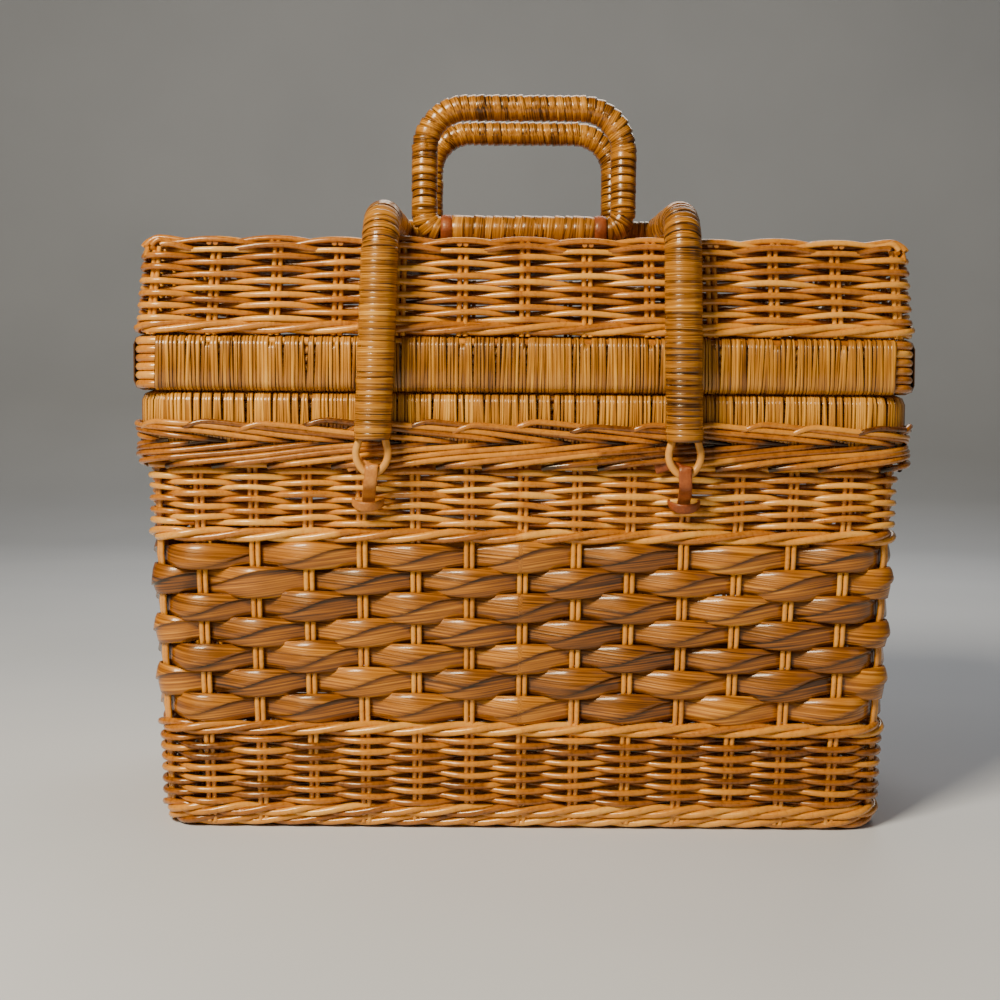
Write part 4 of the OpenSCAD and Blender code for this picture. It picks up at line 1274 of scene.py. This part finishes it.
class BASKET_OT_closures(bpy.types.Operator):
    """Leather tongues and keepers, leather rings and the hinge rings"""

    bl_idname = "basket.closures"
    bl_label = "Closures"

    def execute(self, context):
        sizes = context.scene.basket_handles
        self.rings(sizes)
        legs = (("left", sizes.left_x, sizes.left_lean, -0.003, "tan_leather"),
                ("right", sizes.right_x, sizes.right_lean, 0.0015, "red_leather"))
        for side, x, lean, shift, leather in legs:
            middle = lean_point((0, sizes.leg_y, sizes.eye_z), x, sizes.bar_z, lean)[0]
            self.tongue(side, middle, shift, sizes, palette(leather))
            self.keeper(side, middle + shift, palette(leather))
        for name in ("left_hinge_ring", "right_hinge_ring"):
            paint(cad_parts[name], palette("light_cane"))
        return {"FINISHED"}

    def rings(self, sizes):
        """Leather loops round the grips' bars. The front ones are tied to loops round the crossbar."""
        for end, y in (("front", -sizes.grip_y), ("rear", sizes.grip_y)):
            for side in ("left", "right"):
                node = end + "_ring_" + side
                low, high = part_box(node)
                x = (low[0] + high[0]) / 2
                shell = Shell()
                shell.add(self.loop(x, y, sizes.grip_z, GRIP_LOOP_R), True)
                if end == "front":
                    shell.add(self.loop(x, sizes.bar_y, sizes.bar_z, BAR_LOOP_R), True)
                    tie = [(x, y, sizes.grip_z - GRIP_LOOP_R),
                           (x, (y + sizes.bar_y) / 2, sizes.grip_z - 0.0074),
                           (x, sizes.bar_y, sizes.bar_z - BAR_LOOP_R)]
                    shell.add(band(smooth_path(tie), (1, 0, 0), widths=0.006, thick=0.0016), False)
                ride(shell.build(node + "_loop", palette("red_leather")), "lid", "leather", node)

    def loop(self, x, y, z, radius):
        """Rings of points for a loop round a bar along X."""
        rings = []
        for k in range(28):
            turn = 2 * pi * k / 28
            ring = []
            for angle in 2 * pi * np.arange(12) / 12:
                reach = radius + LOOP_HALF_T * sin(angle)
                ring.append((x + LOOP_HALF_W * cos(angle), y + reach * cos(turn), z + reach * sin(turn)))
            rings.append(ring[::-1])
        return rings

    def tongue(self, side, x, shift, sizes, leather):
        """A strap from under the border that goes through the eye and down behind the keeper."""
        low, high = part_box(side + "_tongue")
        foot = low[2]
        eye = sizes.eye_z
        leg = sizes.leg_y
        path = smooth_path([
            (x - 0.0135, high[1] - 0.0004, eye - 0.0046), (x - 0.0065, high[1] - 0.003, eye - 0.0026),
            (x, leg, eye - 0.0034), (x, leg - 0.0027, eye - 0.0044), (x, leg - 0.0031, eye - 0.0078),
            (x + shift * 0.3, leg - 0.0012, eye - 0.0143),
            (x + shift * 0.7, low[1] * 0.28 + high[1] * 0.72, foot + 0.0095),
            (x + shift, high[1] + 0.0036, foot + 0.004), (x + shift, high[1] + 0.0038, foot)])
        turned = np.clip(np.linspace(0, 3.2, len(path)), 0, 1)[:, None]
        sides = np.array([0.0, 0.0, -1.0]) * (1 - turned) + np.array([1.0, 0.0, 0.0]) * turned
        made = strap(side + "_tongue_strap", path, sides, widths=0.0066, thick=0.0018, material=leather)
        ride(made, "basket", "leather", side + "_tongue")

    def keeper(self, side, x, leather):
        """A short strap that sags from the weave and holds the tongue's end."""
        low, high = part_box(side + "_keeper")
        turn = np.linspace(0, pi, 25)
        out = high[1] + 0.001 - (high[1] - low[1]) * 0.92 * np.sin(turn) ** 0.8
        z = high[2] - 0.0012 - 0.0034 * np.sin(turn)
        path = np.stack([x - 0.0076 * np.cos(turn), out, z], axis=1)
        lean = np.stack([0 * turn, 0.35 * np.sin(turn), -1 + 0 * turn], axis=1)
        widths = 0.0026 + 0.0026 * np.sin(turn)
        made = strap(side + "_keeper_strap", path, lean, widths, thick=0.0016, material=leather)
        ride(made, "basket", "leather", side + "_keeper")


def paint(made, material):
    """Gives a piece one material."""
    made.data.materials.clear()
    made.data.materials.append(material)


class BASKET_OT_stage(bpy.types.Operator):
    """Camera, floor and soft light"""

    bl_idname = "basket.stage"
    bl_label = "Stage"

    def execute(self, context):
        scene = context.scene
        view = bpy.data.cameras.new("camera")
        view.sensor_width = 36
        view.lens = CAMERA_LENS
        camera = bpy.data.objects.new("camera", view)
        scene.collection.objects.link(camera)
        pitch = Matrix.Rotation(radians(90 - CAMERA_PITCH), 4, "X")
        roll = Matrix.Rotation(radians(CAMERA_ROLL), 4, "Z")
        camera.matrix_world = Matrix.Translation(CAMERA_PLACE) @ pitch @ roll
        scene.camera = camera
        self.floor()
        for name, place, size, power, colour in LIGHTS:
            self.light(scene, name, place, size, power, colour)
        world = bpy.data.worlds.new("studio")
        world.use_nodes = True
        background = world.node_tree.nodes["Background"]
        background.inputs["Color"].default_value = (0.64, 0.64, 0.64, 1.0)
        background.inputs["Strength"].default_value = 0.08
        scene.world = world
        return {"FINISHED"}

    def floor(self):
        """A plain pale floor with a soft mottle that bends up behind the basket."""
        profile = [(-6, 0), (1.5, 0), (1.9, 0.05), (2.2, 0.2), (2.4, 0.45), (2.5, 0.8), (2.5, 4)]
        points = [(x, y, z) for y, z in profile for x in (-6, 6)]
        faces = [(2 * i, 2 * i + 1, 2 * i + 3, 2 * i + 2) for i in range(len(profile) - 1)]
        tree, shader = fresh_material("floor", 0.7, 0.0)
        place = make_node(tree, "ShaderNodeTexCoord", {}, "Object")
        mottle = noise(tree, place, 3.0, 3.0)
        greys = [(0.3, (0.56, 0.60, 0.67)), (0.7, (0.61, 0.65, 0.72))]
        plug(tree, shader.inputs["Base Color"], ramp(mottle, greys))
        solid("floor", points, faces, bpy.data.materials["floor"])

    def light(self, scene, name, place, size, power, colour):
        """A soft square light that faces the basket."""
        lamp = bpy.data.lights.new(name, "AREA")
        lamp.size = size
        lamp.energy = power
        lamp.color = colour
        made = bpy.data.objects.new(name, lamp)
        made.location = place
        aim = Vector(LIGHT_AIM) - Vector(place)
        made.rotation_euler = aim.to_track_quat("-Z", "Y").to_euler()
        scene.collection.objects.link(made)


class BASKET_PT_panel(bpy.types.Panel):
    """Sizes of the basket and the steps that build it"""

    bl_label = "Wicker basket"
    bl_idname = "BASKET_PT_panel"
    bl_space_type = "VIEW_3D"
    bl_region_type = "UI"
    bl_category = "Basket"

    def draw(self, context):
        for step in STEPS:
            self.layout.operator(step.bl_idname)
        for key in GROUPS:
            box = self.layout.box()
            group = getattr(context.scene, key)
            for name in group.__annotations__:
                box.prop(group, name)


GROUPS = {
    "basket_wall": BasketWall,
    "basket_bands": BasketBands,
    "basket_rims": BasketRims,
    "basket_lid": BasketLid,
    "basket_handles": BasketHandles,
}
STEPS = (
    BASKET_OT_walls,
    BASKET_OT_strips,
    BASKET_OT_border,
    BASKET_OT_base,
    BASKET_OT_rims,
    BASKET_OT_lid,
    BASKET_OT_grips,
    BASKET_OT_bail,
    BASKET_OT_closures,
    BASKET_OT_stage,
)
CLASSES = (*GROUPS.values(), *STEPS, BASKET_PT_panel)


def register():
    for item in CLASSES:
        bpy.utils.register_class(item)
    for key, group in GROUPS.items():
        setattr(bpy.types.Scene, key, PointerProperty(type=group))


def unregister():
    for key in GROUPS:
        delattr(bpy.types.Scene, key)
    for item in reversed(CLASSES):
        bpy.utils.unregister_class(item)


def main():
    register()
    bpy.ops.basket.stage()
    bpy.ops.basket.walls()
    bpy.ops.basket.strips()
    bpy.ops.basket.border()
    bpy.ops.basket.base()
    bpy.ops.basket.rims()
    bpy.ops.basket.lid()
    bpy.ops.basket.grips()
    bpy.ops.basket.bail()
    bpy.ops.basket.closures()


if __name__ == "__main__":
    main()
